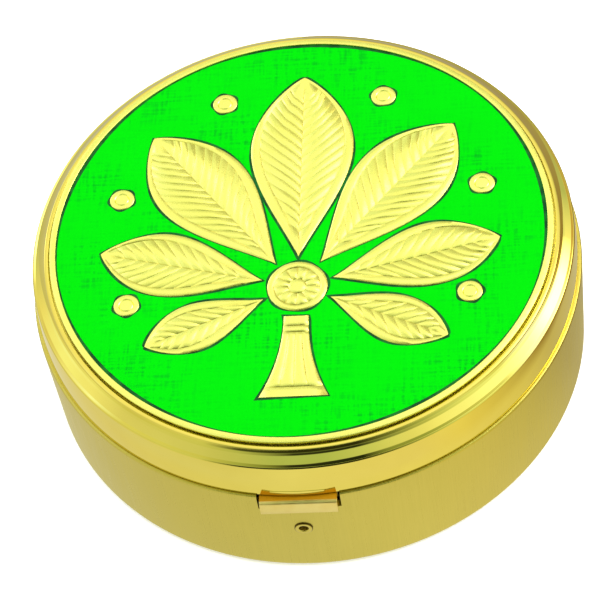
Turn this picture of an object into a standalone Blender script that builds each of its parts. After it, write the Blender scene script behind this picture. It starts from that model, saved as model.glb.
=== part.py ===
"""Round hinged pill box of gold-plated brass with an enamelled medallion in its lid.

Run with: blender --background --python part.py

Frame: metres, +Z up. The origin is the centre of the flat underside, on the box's own axis.
The thumb catch is at the front, towards -Y, and the hinge at the back, towards +Y.
Pieces that touch in the real box stand a small gap apart, so that each is a solid of its own.
"""

import math

import bmesh
import bpy
from mathutils import Matrix, Vector

MM = 0.001

# --- driving dimensions ---------------------------------------------------------------------
LIP_RADIUS = 30.0 * MM  # the lid's hemmed lower edge, the widest part of the box
BASE_RADIUS = 29.8 * MM
PARTING_HEIGHT = 14.1 * MM  # underside of the lid's lip
LID_RISE = 5.95 * MM  # from there to the top of the medallion's rim
SHEET = 0.5 * MM  # wall of the pressed lid and of the collar
BASE_SHEET = 0.7 * MM  # wall and floor of the drawn base
FIT_GAP = 0.3 * MM  # between pieces that are soldered or rest on each other
CLOSE_GAP = 0.15 * MM  # between small pieces
TURN_STEPS = 72  # facets round a turned piece

# --- base -----------------------------------------------------------------------------------
RIM_HEIGHT = PARTING_HEIGHT - FIT_GAP
BASE_CORNER = 1.0 * MM
BASE_TAPER = 0.05 * MM
RIM_BEVEL = 0.12 * MM

# --- collar that the lid closes over -----------------------------------------------------------
COLLAR_OUTER = BASE_RADIUS - BASE_SHEET - FIT_GAP
COLLAR_INNER = COLLAR_OUTER - SHEET
COLLAR_FOOT = PARTING_HEIGHT - 5.5 * MM
COLLAR_TOP = PARTING_HEIGHT + 2.1 * MM

# --- lid --------------------------------------------------------------------------------------
TOP_HEIGHT = PARTING_HEIGHT + LID_RISE
MEDALLION_RADIUS = 27.05 * MM
SEAT_RADIUS = MEDALLION_RADIUS + CLOSE_GAP
SEAT_HEIGHT = TOP_HEIGHT - 1.15 * MM
BEAD_RADIUS = 0.22 * MM  # small bead round the seat
BEAD_HEIGHT = TOP_HEIGHT - 0.45 * MM
COVE_TOP = (SEAT_RADIUS + 2 * BEAD_RADIUS, BEAD_HEIGHT - BEAD_RADIUS)
COVE_RUNS = (  # length of each run down the cove, tilt at its ends (0 upright, 90 level), facets
    (0.15 * MM, 0, 42, 2),  # tight hollow under the bead
    (1.6 * MM, 42, 57, 4),  # shallow cove
    (0.1 * MM, 57, 80, 1),  # crease
    (0.37 * MM, 80, 10, 3),  # rounded shoulder
)
LIP_ROUND = 0.2 * MM
LIP_HEM = 0.84 * MM  # thickness of the wall where it is turned back inside the lip
HEM_HEIGHT = PARTING_HEIGHT + 1.0 * MM
SHOULDER_INSIDE = (28.85 * MM, PARTING_HEIGHT + 3.45 * MM)
SEAT_INSIDE = 27.6 * MM  # radius inside the lid where its roof turns down

# --- medallion ----------------------------------------------------------------------------------
ENAMEL_RADIUS = 26.15 * MM
PLATE_BOTTOM = SEAT_HEIGHT + CLOSE_GAP
GROUND_HEIGHT = TOP_HEIGHT - 0.62 * MM  # floor that the enamel lies on
RELIEF_HEIGHT = TOP_HEIGHT - 0.08 * MM
ENAMEL_TOP = TOP_HEIGHT - 0.26 * MM
ENAMEL_BOTTOM = GROUND_HEIGHT + 0.1 * MM

# --- palmette on the medallion --------------------------------------------------------------------
LOBE_COUNT = 7
LOBE_PITCH = math.radians(38)  # from one lobe to the next
LOBE_REACH = 21.5 * MM  # circle that every lobe's tip lies on
LOBE_WIDTH = 0.45  # widest part as a share of the length
HEART_OFFSET = 7.5 * MM  # the lobes spring from this far in front of the centre
HEART_RADIUS = 3.2 * MM
PETAL_GAP = 0.7 * MM  # enamel between the heart and what springs from it
BERRY_REACH = 20.3 * MM
BERRY_RADIUS = 1.35 * MM
STEM_HALF = 1.3 * MM
STEM_FOOT_HALF = 3.6 * MM

# --- hinge --------------------------------------------------------------------------------------
HINGE_Y = 30.6 * MM
HINGE_Z = PARTING_HEIGHT - 0.25 * MM
KNUCKLE_RADIUS = 1.0 * MM
PIN_RADIUS = 0.4 * MM
BORE_RADIUS = PIN_RADIUS + 0.12 * MM
KNUCKLE_COUNT = 5
KNUCKLE_LENGTH = 2.2 * MM
KNUCKLE_GAP = 0.25 * MM
HINGE_SLOT_HALF = 6.5 * MM
LEAF_SHEET = 0.35 * MM
LEAF_RISE = 0.2 * MM  # the leaves start this far above and below the pin
LEAF_HEIGHT = 2.2 * MM
BASE_LEAF_RADIUS = BASE_RADIUS - BASE_SHEET - FIT_GAP
LID_LEAF_RADIUS = BASE_LEAF_RADIUS - 0.1 * MM
BORE_REACH = 8 * MM  # half the length of the drill that bores the knuckles

# --- catch --------------------------------------------------------------------------------------
NOTCH_HALF = 4.3 * MM
NOTCH_SILL = PARTING_HEIGHT - 2.0 * MM
THUMB_HALF = 4.0 * MM
TAIL_HALF = 2.4 * MM
STRIP = 0.35 * MM
TAIL_SINK = 0.03 * MM  # the tail's faces lie this far inside the thumb strip's, so that the two join cleanly
STRIP_RADIUS = BASE_RADIUS - BASE_SHEET - FIT_GAP  # outer face of the strip inside the wall
RIVET_HEIGHT = PARTING_HEIGHT - 6.2 * MM
TAIL_FOOT = RIVET_HEIGHT - 1.9 * MM
SHELF_HEIGHT = PARTING_HEIGHT - 0.3 * MM  # top of the thumb tab, just under the lip
THUMB_ROOT = SHELF_HEIGHT - 2.2 * MM
THUMB_FOLD = SHELF_HEIGHT - 0.1 * MM  # where the tab turns down outside the wall
THUMB_FOOT = PARTING_HEIGHT - 2.3 * MM
THUMB_RADIUS = BASE_RADIUS + 0.55 * MM  # inner face of the pad that hangs outside the wall
THUMB_BEND = 0.25 * MM  # inside radius of the tab's two folds
TONGUE_HALF = 1.9 * MM
TONGUE_ROOT = SHELF_HEIGHT - 1.6 * MM
TONGUE_BEND = PARTING_HEIGHT + 0.3 * MM  # above this the tongue stands upright behind the lid's wall
NOSE_RADIUS = 28.3 * MM
NOSE_REACH = 0.35 * MM  # how far the nose stands out from the tongue
NOSE_HEIGHT = PARTING_HEIGHT + 1.25 * MM
NOSE_RISE = 0.9 * MM
STRIKE_RADIUS = NOSE_RADIUS + CLOSE_GAP
STRIKE_HALF = 2.8 * MM
STRIKE_SHEET = 0.3 * MM
STRIKE_FOOT = PARTING_HEIGHT + 0.3 * MM
STRIKE_TOP = NOSE_HEIGHT - CLOSE_GAP
STRIKE_RAMP = 0.15 * MM

SHANK_RADIUS = 0.68 * MM
SHANK_BORE = 0.47 * MM
SHANK_HOLE = SHANK_RADIUS + CLOSE_GAP
FLANGE_RADIUS = 1.05 * MM
FLANGE_SHEET = 0.22 * MM

# --- finishes: colour, metallic, roughness --------------------------------------------------------
SATIN_GOLD = ((0.80, 0.66, 0.20), 1.0, 0.38)
POLISHED_GOLD = ((0.90, 0.74, 0.22), 1.0, 0.12)
RELIEF_GOLD = ((1.0, 0.90, 0.35), 1.0, 0.25)
SPRING_GOLD = ((0.88, 0.72, 0.30), 1.0, 0.2)
GREEN_ENAMEL = ((0.0, 0.75, 0.03), 0.0, 0.15)


def clear_scene():
    for old in list(bpy.data.objects):
        bpy.data.objects.remove(old)


# --- tools ------------------------------------------------------------------------------------
def add_piece(name, bm, finish=SATIN_GOLD):
    """Turns a bmesh into a named object with its own material, shaded smooth between creases."""
    bmesh.ops.remove_doubles(bm, verts=bm.verts, dist=1e-8)
    bmesh.ops.recalc_face_normals(bm, faces=bm.faces)
    mesh = bpy.data.meshes.new(name)
    bm.to_mesh(mesh)
    bm.free()
    mesh.shade_smooth()
    mesh.set_sharp_from_angle(angle=math.radians(32))
    colour, metallic, roughness = finish
    material = bpy.data.materials.new(name)
    material.use_nodes = True
    shader = material.node_tree.nodes["Principled BSDF"]
    shader.inputs["Base Color"].default_value = (*colour, 1.0)
    shader.inputs["Metallic"].default_value = metallic
    shader.inputs["Roughness"].default_value = roughness
    material.diffuse_color = (*colour, 1.0)
    mesh.materials.append(material)
    piece = bpy.data.objects.new(name, mesh)
    bpy.context.scene.collection.objects.link(piece)
    return piece


def combine(piece, helper, operation):
    """Cuts a piece with a helper shape, or joins the shape to it. The helper stays out of the build."""
    helper.hide_render = True
    helper.display_type = "WIRE"
    boolean = piece.modifiers.new(helper.name, "BOOLEAN")
    boolean.operation = operation
    boolean.object = helper
    boolean.solver = "EXACT"
    boolean.use_self = operation == "UNION"


def box(bm, low, high):
    middle = (Vector(low) + Vector(high)) / 2
    size = Vector(high) - Vector(low)
    bmesh.ops.create_cube(bm, size=1.0, matrix=Matrix.Translation(middle) @ Matrix.Diagonal(size).to_4x4())


def cut_box(piece, name, low, high):
    bm = bmesh.new()
    box(bm, low, high)
    combine(piece, add_piece(name, bm), "DIFFERENCE")


def rod(bm, radius, start, end, sides):
    """A solid rod from one point to another."""
    along = Vector(end) - Vector(start)
    turn = Vector((0, 0, 1)).rotation_difference(along).to_matrix().to_4x4()
    place = Matrix.Translation((Vector(start) + Vector(end)) / 2)
    bmesh.ops.create_cone(
        bm, cap_ends=True, segments=sides, radius1=radius, radius2=radius, depth=along.length,
        matrix=place @ turn,
    )


def arc(centre, radii, start, end, steps):
    """Points along an arc of an ellipse, angles in degrees, both ends included."""
    angles = [math.radians(start + (end - start) * i / steps) for i in range(steps + 1)]
    return [(centre[0] + radii[0] * math.cos(a), centre[1] + radii[1] * math.sin(a)) for a in angles]


def turned(outline, steps=TURN_STEPS, closed=False):
    """A bmesh turned about Z from (radius, height) points. An open outline starts and ends on the axis."""
    bm = bmesh.new()
    verts = [bm.verts.new((r, 0, z)) for r, z in outline]
    edges = [bm.edges.new(pair) for pair in zip(verts, verts[1:])]
    if closed:
        edges.append(bm.edges.new((verts[-1], verts[0])))
    bmesh.ops.spin(
        bm, geom=verts + edges, cent=(0, 0, 0), axis=(0, 0, 1), angle=math.tau, steps=steps, use_merge=True
    )
    return bm


def swept(bm, outline, heading, half_width, steps):
    """Sweeps a closed (radius, height) outline about Z, to each side of a heading of 1 (+Y) or -1 (-Y)."""
    half = half_width / max(r for r, _ in outline)
    turn = Matrix.Rotation(heading * math.pi / 2 - half, 3, "Z")
    face = bm.faces.new([bm.verts.new(turn @ Vector((r, 0, z))) for r, z in outline])
    bmesh.ops.spin(
        bm, geom=[face], cent=(0, 0, 0), axis=(0, 0, 1), angle=2 * half, steps=steps, use_duplicate=False
    )


def prism(bm, outline, low, high):
    """A closed (x, y) outline raised from one height to another."""
    face = bm.faces.new([bm.verts.new((x, y, low)) for x, y in outline])
    made = bmesh.ops.extrude_face_region(bm, geom=[face])["geom"]
    top = [item for item in made if isinstance(item, bmesh.types.BMVert)]
    bmesh.ops.translate(bm, verts=top, vec=(0, 0, high - low))


def strip_outline(path, sheet):
    """Outline of a bent strip: its outer face along the path, its inner face one sheet to the left."""
    inner = []
    for i, (r, z) in enumerate(path):
        before = Vector(path[i]) - Vector(path[i - 1]) if i else Vector(path[1]) - Vector(path[0])
        after = Vector(path[i + 1]) - Vector(path[i]) if i < len(path) - 1 else before
        mean = (before.normalized() + after.normalized()).normalized()
        reach = sheet / mean.dot(after.normalized())
        inner.append((r - mean.y * reach, z + mean.x * reach))
    return path + inner[::-1]


# --- base ---------------------------------------------------------------------------------------
def make_base_cup():
    """Drawn cup: flat foot, rounded corner, slightly tapered wall, with its notch, slot and rivet hole."""
    foot = BASE_RADIUS - BASE_TAPER - BASE_CORNER
    inner_corner = BASE_CORNER - BASE_SHEET
    outside = arc((foot, BASE_CORNER), (BASE_CORNER, BASE_CORNER), -90, 0, 6)
    rim = [
        (BASE_RADIUS, RIM_HEIGHT - RIM_BEVEL),
        (BASE_RADIUS - RIM_BEVEL, RIM_HEIGHT),
        (BASE_RADIUS - BASE_SHEET, RIM_HEIGHT),
    ]
    inside = arc((foot, BASE_CORNER), (inner_corner, inner_corner), 0, -90, 4)
    cup = add_piece("base_cup", turned([(0, 0)] + outside + rim + inside + [(0, BASE_SHEET)]), SATIN_GOLD)
    over = RIM_HEIGHT + 1 * MM
    back = HINGE_Y + 1 * MM
    inner = COLLAR_INNER - 1 * MM
    cut_box(cup, "catch_notch", (-NOTCH_HALF, -back, NOTCH_SILL), (NOTCH_HALF, -inner, over))
    slot_floor = HINGE_Z - KNUCKLE_RADIUS - FIT_GAP
    cut_box(cup, "hinge_slot", (-HINGE_SLOT_HALF, inner, slot_floor), (HINGE_SLOT_HALF, back, over))
    bm = bmesh.new()
    rod(bm, SHANK_HOLE, (0, -back, RIVET_HEIGHT), (0, -inner, RIVET_HEIGHT), 20)
    combine(cup, add_piece("rivet_hole", bm), "DIFFERENCE")


def make_base_collar():
    """Ring inside the rim, with a rounded top edge, stopping clear of the catch and of the hinge."""
    middle = (COLLAR_OUTER + COLLAR_INNER) / 2
    top = arc((middle, COLLAR_TOP - SHEET / 2), (SHEET / 2, SHEET / 2), 0, 180, 4)
    foot = [(COLLAR_INNER, COLLAR_FOOT), (COLLAR_OUTER, COLLAR_FOOT)]
    collar = add_piece("base_collar", turned(foot + top, closed=True), POLISHED_GOLD)
    over = COLLAR_TOP + 1 * MM
    catch_half = THUMB_HALF + 3 * FIT_GAP
    cut_box(
        collar, "collar_catch_gap", (-catch_half, -HINGE_Y, COLLAR_FOOT - 1 * MM),
        (catch_half, -COLLAR_INNER + 2 * MM, over),
    )
    leaf_foot = HINGE_Z - LEAF_RISE - LEAF_HEIGHT - FIT_GAP
    hinge_half = HINGE_SLOT_HALF + FIT_GAP
    cut_box(
        collar, "collar_hinge_gap", (-hinge_half, COLLAR_INNER - 2 * MM, leaf_foot),
        (hinge_half, HINGE_Y, over),
    )


# --- lid ------------------------------------------------------------------------------------------
def traced(start, runs):
    """Points down a surface from a start point, its tilt turning evenly along each run."""
    points = [start]
    for length, first, last, steps in runs:
        for i in range(steps):
            tilt = math.radians(first + (last - first) * (i + 0.5) / steps)
            r, z = points[-1]
            points.append((r + math.sin(tilt) * length / steps, z - math.cos(tilt) * length / steps))
    return points


def make_lid_shell():
    """Pressed lid: recessed seat, bead, shallow cove, rounded shoulder, flaring wall and a hemmed lip."""
    bead = arc((SEAT_RADIUS + BEAD_RADIUS, COVE_TOP[1]), (BEAD_RADIUS, BEAD_RADIUS), 180, 0, 5)
    lip = arc((LIP_RADIUS - LIP_ROUND, PARTING_HEIGHT + LIP_ROUND), (LIP_ROUND, LIP_ROUND), 11, -90, 4)
    outside = [(0, SEAT_HEIGHT), (SEAT_RADIUS, SEAT_HEIGHT)] + bead + traced(COVE_TOP, COVE_RUNS)[1:] + lip
    under_seat = SEAT_HEIGHT - SHEET
    inside = [
        (LIP_RADIUS - LIP_HEM, PARTING_HEIGHT),
        (LIP_RADIUS - LIP_HEM, HEM_HEIGHT),
        SHOULDER_INSIDE,
        (SEAT_INSIDE, under_seat),
        (0, under_seat),
    ]
    lid = add_piece("lid_shell", turned(outside + inside), POLISHED_GOLD)
    roof = HINGE_Z + KNUCKLE_RADIUS + FIT_GAP
    inner = COLLAR_INNER - 1 * MM
    cut_box(
        lid, "lid_hinge_slot", (-HINGE_SLOT_HALF, inner, PARTING_HEIGHT - 1 * MM),
        (HINGE_SLOT_HALF, HINGE_Y + 1 * MM, roof),
    )


# --- medallion ------------------------------------------------------------------------------------
def spoke(heading, reach):
    """Direction from the heart at an angle from +Y, and how far off a circle round the origin is."""
    along = Vector((math.sin(heading), math.cos(heading)))
    distance = HEART_OFFSET * along.y + math.sqrt(reach**2 - (HEART_OFFSET * along.x) ** 2)
    return along, distance


def lobe_outline(heading, steps=10):
    """One leaf-shaped lobe, from beside the heart to the reach circle, widest past its middle."""
    along, reach = spoke(heading, LOBE_REACH)
    across = Vector((along.y, -along.x))
    root = Vector((0, -HEART_OFFSET)) + along * (HEART_RADIUS + PETAL_GAP)
    length = reach - HEART_RADIUS - PETAL_GAP
    right, left = [], []
    for i in range(steps + 1):
        t = i / steps
        half = length * LOBE_WIDTH / 2 * max(math.sin(math.pi * t**1.35), 0) ** 0.8
        right.append(root + along * (t * length) + across * half)
        left.append(root + along * (t * length) - across * half)
    return right + left[-2:0:-1]


def stem_outline(steps=4):
    """A stem below the heart that flares to a foot."""
    top = -HEART_OFFSET - HEART_RADIUS - PETAL_GAP
    right = []
    for i in range(steps + 1):
        t = i / steps
        half = STEM_HALF + (STEM_FOOT_HALF - STEM_HALF) * t**2.2
        right.append(Vector((half, top + t * (-LOBE_REACH - top))))
    return [Vector((-p.x, p.y)) for p in right] + right[::-1]


def grown(outline, grow):
    """The outline moved outwards, its corners kept sharp up to three times the distance."""
    moved = []
    for i, point in enumerate(outline):
        before = (point - outline[i - 1]).normalized()
        after = (outline[(i + 1) % len(outline)] - point).normalized()
        outwards = Vector((before.y + after.y, -before.x - after.x)).normalized()
        reach = grow / max(outwards.dot(Vector((after.y, -after.x))), 1 / 3)
        moved.append(point + outwards * reach)
    return moved


def palmette(low, high, grow):
    """The raised ornament as separate prisms: a heart, a fan of lobes with berries between, and a stem."""
    round_steps = 24
    heart = Vector((0, -HEART_OFFSET))
    outlines = [arc(heart, (HEART_RADIUS, HEART_RADIUS), 0, 360, round_steps)[:-1], stem_outline()]
    first = -(LOBE_COUNT - 1) / 2 * LOBE_PITCH
    for i in range(LOBE_COUNT):
        outlines.append(lobe_outline(first + i * LOBE_PITCH))
    for i in range(LOBE_COUNT - 1):
        along, distance = spoke(first + (i + 0.5) * LOBE_PITCH, BERRY_REACH)
        centre = heart + along * distance
        outlines.append(arc(centre, (BERRY_RADIUS, BERRY_RADIUS), 0, 360, round_steps // 2)[:-1])
    bm = bmesh.new()
    for outline in outlines:
        prism(bm, grown([Vector(point) for point in outline], grow), low, high)
    return bm


def make_medallion_plate():
    """Struck disc: a sunk ground inside a rounded rim, with the palmette standing on it."""
    rim_half = (MEDALLION_RADIUS - ENAMEL_RADIUS) / 2
    rim_middle = ENAMEL_RADIUS + rim_half
    rim_rise = 0.4 * MM
    rim = arc((rim_middle, TOP_HEIGHT - rim_rise), (rim_half, rim_rise), 0, 180, 8)
    outline = [(0, PLATE_BOTTOM), (MEDALLION_RADIUS, PLATE_BOTTOM)] + rim
    outline += [(ENAMEL_RADIUS, GROUND_HEIGHT), (0, GROUND_HEIGHT)]
    plate = add_piece("medallion_plate", turned(outline), RELIEF_GOLD)
    relief = palmette(PLATE_BOTTOM + CLOSE_GAP, RELIEF_HEIGHT, 0)
    combine(plate, add_piece("palmette_relief", relief), "UNION")


def make_enamel_ground():
    """Enamel that fills the plate's sunk ground round the palmette."""
    edge = ENAMEL_RADIUS - CLOSE_GAP
    outline = [(0, ENAMEL_BOTTOM), (edge, ENAMEL_BOTTOM), (edge, ENAMEL_TOP), (0, ENAMEL_TOP)]
    enamel = add_piece("enamel_ground", turned(outline), GREEN_ENAMEL)
    room = palmette(ENAMEL_BOTTOM - CLOSE_GAP, ENAMEL_TOP + CLOSE_GAP, CLOSE_GAP)
    combine(enamel, add_piece("palmette_room", room), "DIFFERENCE")


# --- hinge ----------------------------------------------------------------------------------------
def knuckle_centre(i):
    return (i - (KNUCKLE_COUNT - 1) / 2) * (KNUCKLE_LENGTH + KNUCKLE_GAP)


def make_hinge_leaf(name, knuckles, side, leaf_radius):
    """Curved leaf soldered inside a wall, with its knuckles. Side is 1 for the lid and -1 for the base."""
    bm = bmesh.new()
    near = HINGE_Z + side * LEAF_RISE
    far = near + side * LEAF_HEIGHT
    half = HINGE_SLOT_HALF - 2 * FIT_GAP
    inner = leaf_radius - LEAF_SHEET
    swept(bm, [(inner, near), (leaf_radius, near), (leaf_radius, far), (inner, far)], 1, half, 8)
    leaf = add_piece(name, bm, SATIN_GOLD)
    bm = bmesh.new()
    for i in knuckles:
        start, end = knuckle_centre(i) - KNUCKLE_LENGTH / 2, knuckle_centre(i) + KNUCKLE_LENGTH / 2
        rod(bm, KNUCKLE_RADIUS, (start, HINGE_Y, HINGE_Z), (end, HINGE_Y, HINGE_Z), 24)
        root = math.sqrt((leaf_radius - LEAF_SHEET / 2) ** 2 - max(start**2, end**2))
        strap = [
            (HINGE_Y - KNUCKLE_RADIUS * 0.5, HINGE_Z + side * KNUCKLE_RADIUS * 0.5),
            (root, near + side * LEAF_SHEET * 0.4),
            (root, near + side * LEAF_SHEET * 1.6),
            (HINGE_Y, HINGE_Z + side * KNUCKLE_RADIUS * 0.95),
        ]
        face = bm.faces.new([bm.verts.new((start, y, z)) for y, z in strap])
        made = bmesh.ops.extrude_face_region(bm, geom=[face])["geom"]
        far_end = [item for item in made if isinstance(item, bmesh.types.BMVert)]
        bmesh.ops.translate(bm, verts=far_end, vec=(end - start, 0, 0))
    combine(leaf, add_piece(f"{name}_knuckles", bm), "UNION")
    bm = bmesh.new()
    rod(bm, BORE_RADIUS, (-BORE_REACH, HINGE_Y, HINGE_Z), (BORE_REACH, HINGE_Y, HINGE_Z), 16)
    combine(leaf, add_piece(f"{name}_bore", bm), "DIFFERENCE")


def make_hinge_pin():
    """Pin through all the knuckles, its ends a little domed."""
    reach = knuckle_centre(KNUCKLE_COUNT - 1) + KNUCKLE_LENGTH / 2
    bm = bmesh.new()
    rod(bm, PIN_RADIUS, (-reach, HINGE_Y, HINGE_Z), (reach, HINGE_Y, HINGE_Z), 16)
    pin = add_piece("hinge_pin", bm, SPRING_GOLD)
    bevel = pin.modifiers.new("domed_ends", "BEVEL")
    bevel.width = 0.12 * MM
    bevel.segments = 2


# --- catch ----------------------------------------------------------------------------------------
def thumb_path():
    """Lower face of the thumb tab, from behind the wall over its two folds to the foot of the pad."""
    inner = Vector((STRIP_RADIUS + THUMB_BEND, SHELF_HEIGHT - STRIP - THUMB_BEND))
    outer = Vector((THUMB_RADIUS - THUMB_BEND, THUMB_FOLD - STRIP - THUMB_BEND))
    slope = math.degrees(math.atan2(outer.y - inner.y, outer.x - inner.x)) + 90
    bend = (THUMB_BEND, THUMB_BEND)
    folds = arc(inner, bend, 180, slope, 5) + arc(outer, bend, slope, 0, 4)
    return [(STRIP_RADIUS, THUMB_ROOT)] + folds + [(THUMB_RADIUS, THUMB_FOOT)]


def tongue_outline():
    """Side view of the tongue: it leans back from the tail, then stands upright and ends in the nose."""
    outer = NOSE_RADIUS - NOSE_REACH
    return [
        (STRIP_RADIUS - STRIP * 0.8, TONGUE_ROOT),
        (STRIP_RADIUS - STRIP * 0.3, TONGUE_ROOT + STRIP),
        (outer, TONGUE_BEND + STRIP / 3),
        (outer, NOSE_HEIGHT),
        (NOSE_RADIUS, NOSE_HEIGHT + NOSE_RISE * 0.1),
        (NOSE_RADIUS, NOSE_HEIGHT + NOSE_RISE * 0.4),
        (outer, NOSE_HEIGHT + NOSE_RISE),
        (outer - STRIP, NOSE_HEIGHT + NOSE_RISE),
        (outer - STRIP, TONGUE_BEND),
    ]


def make_catch_spring():
    """Spring strip: a tail riveted inside the wall, a thumb tab folded out through the notch and a tongue
    with a nose that reaches up behind the lid's strike."""
    bm = bmesh.new()
    tail_radius = STRIP_RADIUS - TAIL_SINK
    tail = [(tail_radius, TAIL_FOOT), (tail_radius, SHELF_HEIGHT - 2 * STRIP)]
    swept(bm, strip_outline(tail, STRIP - 2 * TAIL_SINK), -1, TAIL_HALF, 4)
    spring = add_piece("catch_spring", bm, SPRING_GOLD)
    thumb = bmesh.new()
    swept(thumb, strip_outline(thumb_path(), STRIP), -1, THUMB_HALF, 8)
    combine(spring, add_piece("catch_thumb", thumb), "UNION")
    tongue = bmesh.new()
    swept(tongue, tongue_outline(), -1, TONGUE_HALF, 4)
    combine(spring, add_piece("catch_tongue", tongue), "UNION")
    hole = bmesh.new()
    rod(hole, SHANK_HOLE, (0, -HINGE_Y, RIVET_HEIGHT), (0, -COLLAR_INNER + 1 * MM, RIVET_HEIGHT), 20)
    combine(spring, add_piece("catch_rivet_hole", hole), "DIFFERENCE")


def make_catch_rivet():
    """Hollow eyelet rivet: a rounded flange outside the wall, a bored shank and a flange inside."""
    outer_face = BASE_RADIUS + CLOSE_GAP
    inner_face = STRIP_RADIUS - STRIP - CLOSE_GAP
    bore_round = arc(
        ((SHANK_BORE + FLANGE_RADIUS) / 2, outer_face), ((FLANGE_RADIUS - SHANK_BORE) / 2, FLANGE_SHEET),
        180, 0, 6,
    )
    outline = (
        bore_round
        + [(SHANK_RADIUS, outer_face), (SHANK_RADIUS, inner_face), (FLANGE_RADIUS, inner_face)]
        + [(FLANGE_RADIUS, inner_face - FLANGE_SHEET), (SHANK_BORE, inner_face - FLANGE_SHEET)]
    )
    bm = turned(outline, steps=20, closed=True)
    bmesh.ops.rotate(bm, verts=bm.verts, matrix=Matrix.Rotation(math.pi / 2, 3, "X"))
    bmesh.ops.translate(bm, verts=bm.verts, vec=(0, 0, RIVET_HEIGHT))
    add_piece("catch_rivet", bm, SPRING_GOLD)


def make_lid_strike():
    """Short curved strip soldered inside the lid's wall. The catch's nose holds its upper edge."""
    outer = STRIKE_RADIUS + STRIKE_SHEET
    outline = [
        (STRIKE_RADIUS + STRIKE_RAMP, STRIKE_FOOT),
        (outer, STRIKE_FOOT),
        (outer, STRIKE_TOP),
        (STRIKE_RADIUS, STRIKE_TOP),
        (STRIKE_RADIUS, STRIKE_FOOT + STRIKE_RAMP),
    ]
    bm = bmesh.new()
    swept(bm, outline, -1, STRIKE_HALF, 5)
    add_piece("lid_strike", bm, SPRING_GOLD)


def main():
    clear_scene()
    make_base_cup()
    make_base_collar()
    make_lid_shell()
    make_medallion_plate()
    make_enamel_ground()
    make_hinge_leaf("base_hinge_leaf", (0, 2, 4), -1, BASE_LEAF_RADIUS)
    make_hinge_leaf("lid_hinge_leaf", (1, 3), 1, LID_LEAF_RADIUS)
    make_hinge_pin()
    make_catch_spring()
    make_catch_rivet()
    make_lid_strike()


main()
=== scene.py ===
import math
import random

import bmesh
import bpy
from mathutils import Matrix, Vector
from mathutils.geometry import delaunay_2d_cdt


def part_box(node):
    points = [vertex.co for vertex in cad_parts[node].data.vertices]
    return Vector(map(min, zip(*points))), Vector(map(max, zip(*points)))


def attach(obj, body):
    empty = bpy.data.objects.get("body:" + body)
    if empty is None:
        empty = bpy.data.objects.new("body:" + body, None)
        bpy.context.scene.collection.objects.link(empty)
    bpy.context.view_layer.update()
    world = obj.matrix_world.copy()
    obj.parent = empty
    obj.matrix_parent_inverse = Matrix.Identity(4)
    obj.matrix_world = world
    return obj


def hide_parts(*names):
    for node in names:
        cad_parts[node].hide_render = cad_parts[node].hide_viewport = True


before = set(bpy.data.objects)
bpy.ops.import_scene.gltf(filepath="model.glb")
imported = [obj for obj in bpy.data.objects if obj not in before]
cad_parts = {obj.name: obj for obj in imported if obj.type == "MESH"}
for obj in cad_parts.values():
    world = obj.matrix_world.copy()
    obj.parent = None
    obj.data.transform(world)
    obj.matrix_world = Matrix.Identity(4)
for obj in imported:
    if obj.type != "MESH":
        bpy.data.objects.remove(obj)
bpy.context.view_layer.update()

mm = 0.001

# heights and radii that every piece is worked out from
lidLow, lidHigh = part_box("lid_shell")
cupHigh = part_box("base_cup")[1]
plateLow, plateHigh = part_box("medallion_plate")
partingHeight = lidLow.z
lipRadius = lidHigh.x
topHeight = plateHigh.z
cupRadius = cupHigh.x
cupOuter = lipRadius - 0.02 * mm  # the base stands a little proud of the lid's lip, as a ledge under it
lipOuter = lipRadius - 0.34 * mm
sheetThick = 0.5 * mm
baseSheet = 0.7 * mm
weld = 1e-7  # points closer than this are one
sharpAngle = 34

def srgb(red, green, blue):
    # 0..255 screen colour to the linear values a shader takes
    def one(c):
        c = c / 255
        return c / 12.92 if c <= 0.04045 else ((c + 0.055) / 1.055) ** 2.4
    return (one(red), one(green), one(blue), 1.0)


# ---- node trees for materials

def newMaterial(name):
    mat = bpy.data.materials.new(name)
    mat.use_nodes = True
    shader = mat.node_tree.nodes["Principled BSDF"]
    return mat, mat.node_tree, shader

def addNode(tree, kind, inputs=None, **settings):
    node = tree.nodes.new(kind)
    for key, value in settings.items():
        setattr(node, key, value)
    for key, value in (inputs or {}).items():
        if isinstance(value, bpy.types.NodeSocket):
            tree.links.new(value, node.inputs[key])
        else:
            node.inputs[key].default_value = value
    return node

def calc(tree, operation, *values, clamp=False):
    return addNode(tree, "ShaderNodeMath", dict(enumerate(values)), operation=operation,
                   use_clamp=clamp).outputs[0]

def spread(tree, value, low, high, outLow, outHigh):
    return addNode(tree, "ShaderNodeMapRange", {"Value": value, "From Min": low, "From Max": high,
                                                "To Min": outLow, "To Max": outHigh}).outputs[0]

def blendColours(tree, factor, first, second):
    return addNode(tree, "ShaderNodeMix", {0: factor, 6: first, 7: second}, data_type="RGBA").outputs[2]

def weighted(tree, first, share, second, secondShare):
    rest = calc(tree, "MULTIPLY", second, secondShare)
    return calc(tree, "ADD", calc(tree, "MULTIPLY", first, share), rest)

def mottled(tree, value, low, high, first, second):
    # from the first colour to the second as the value goes from low to high
    return blendColours(tree, spread(tree, value, low, high, 0.0, 1.0), first, second)

def split(tree, vector):
    return addNode(tree, "ShaderNodeSeparateXYZ", {"Vector": vector}).outputs

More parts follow.
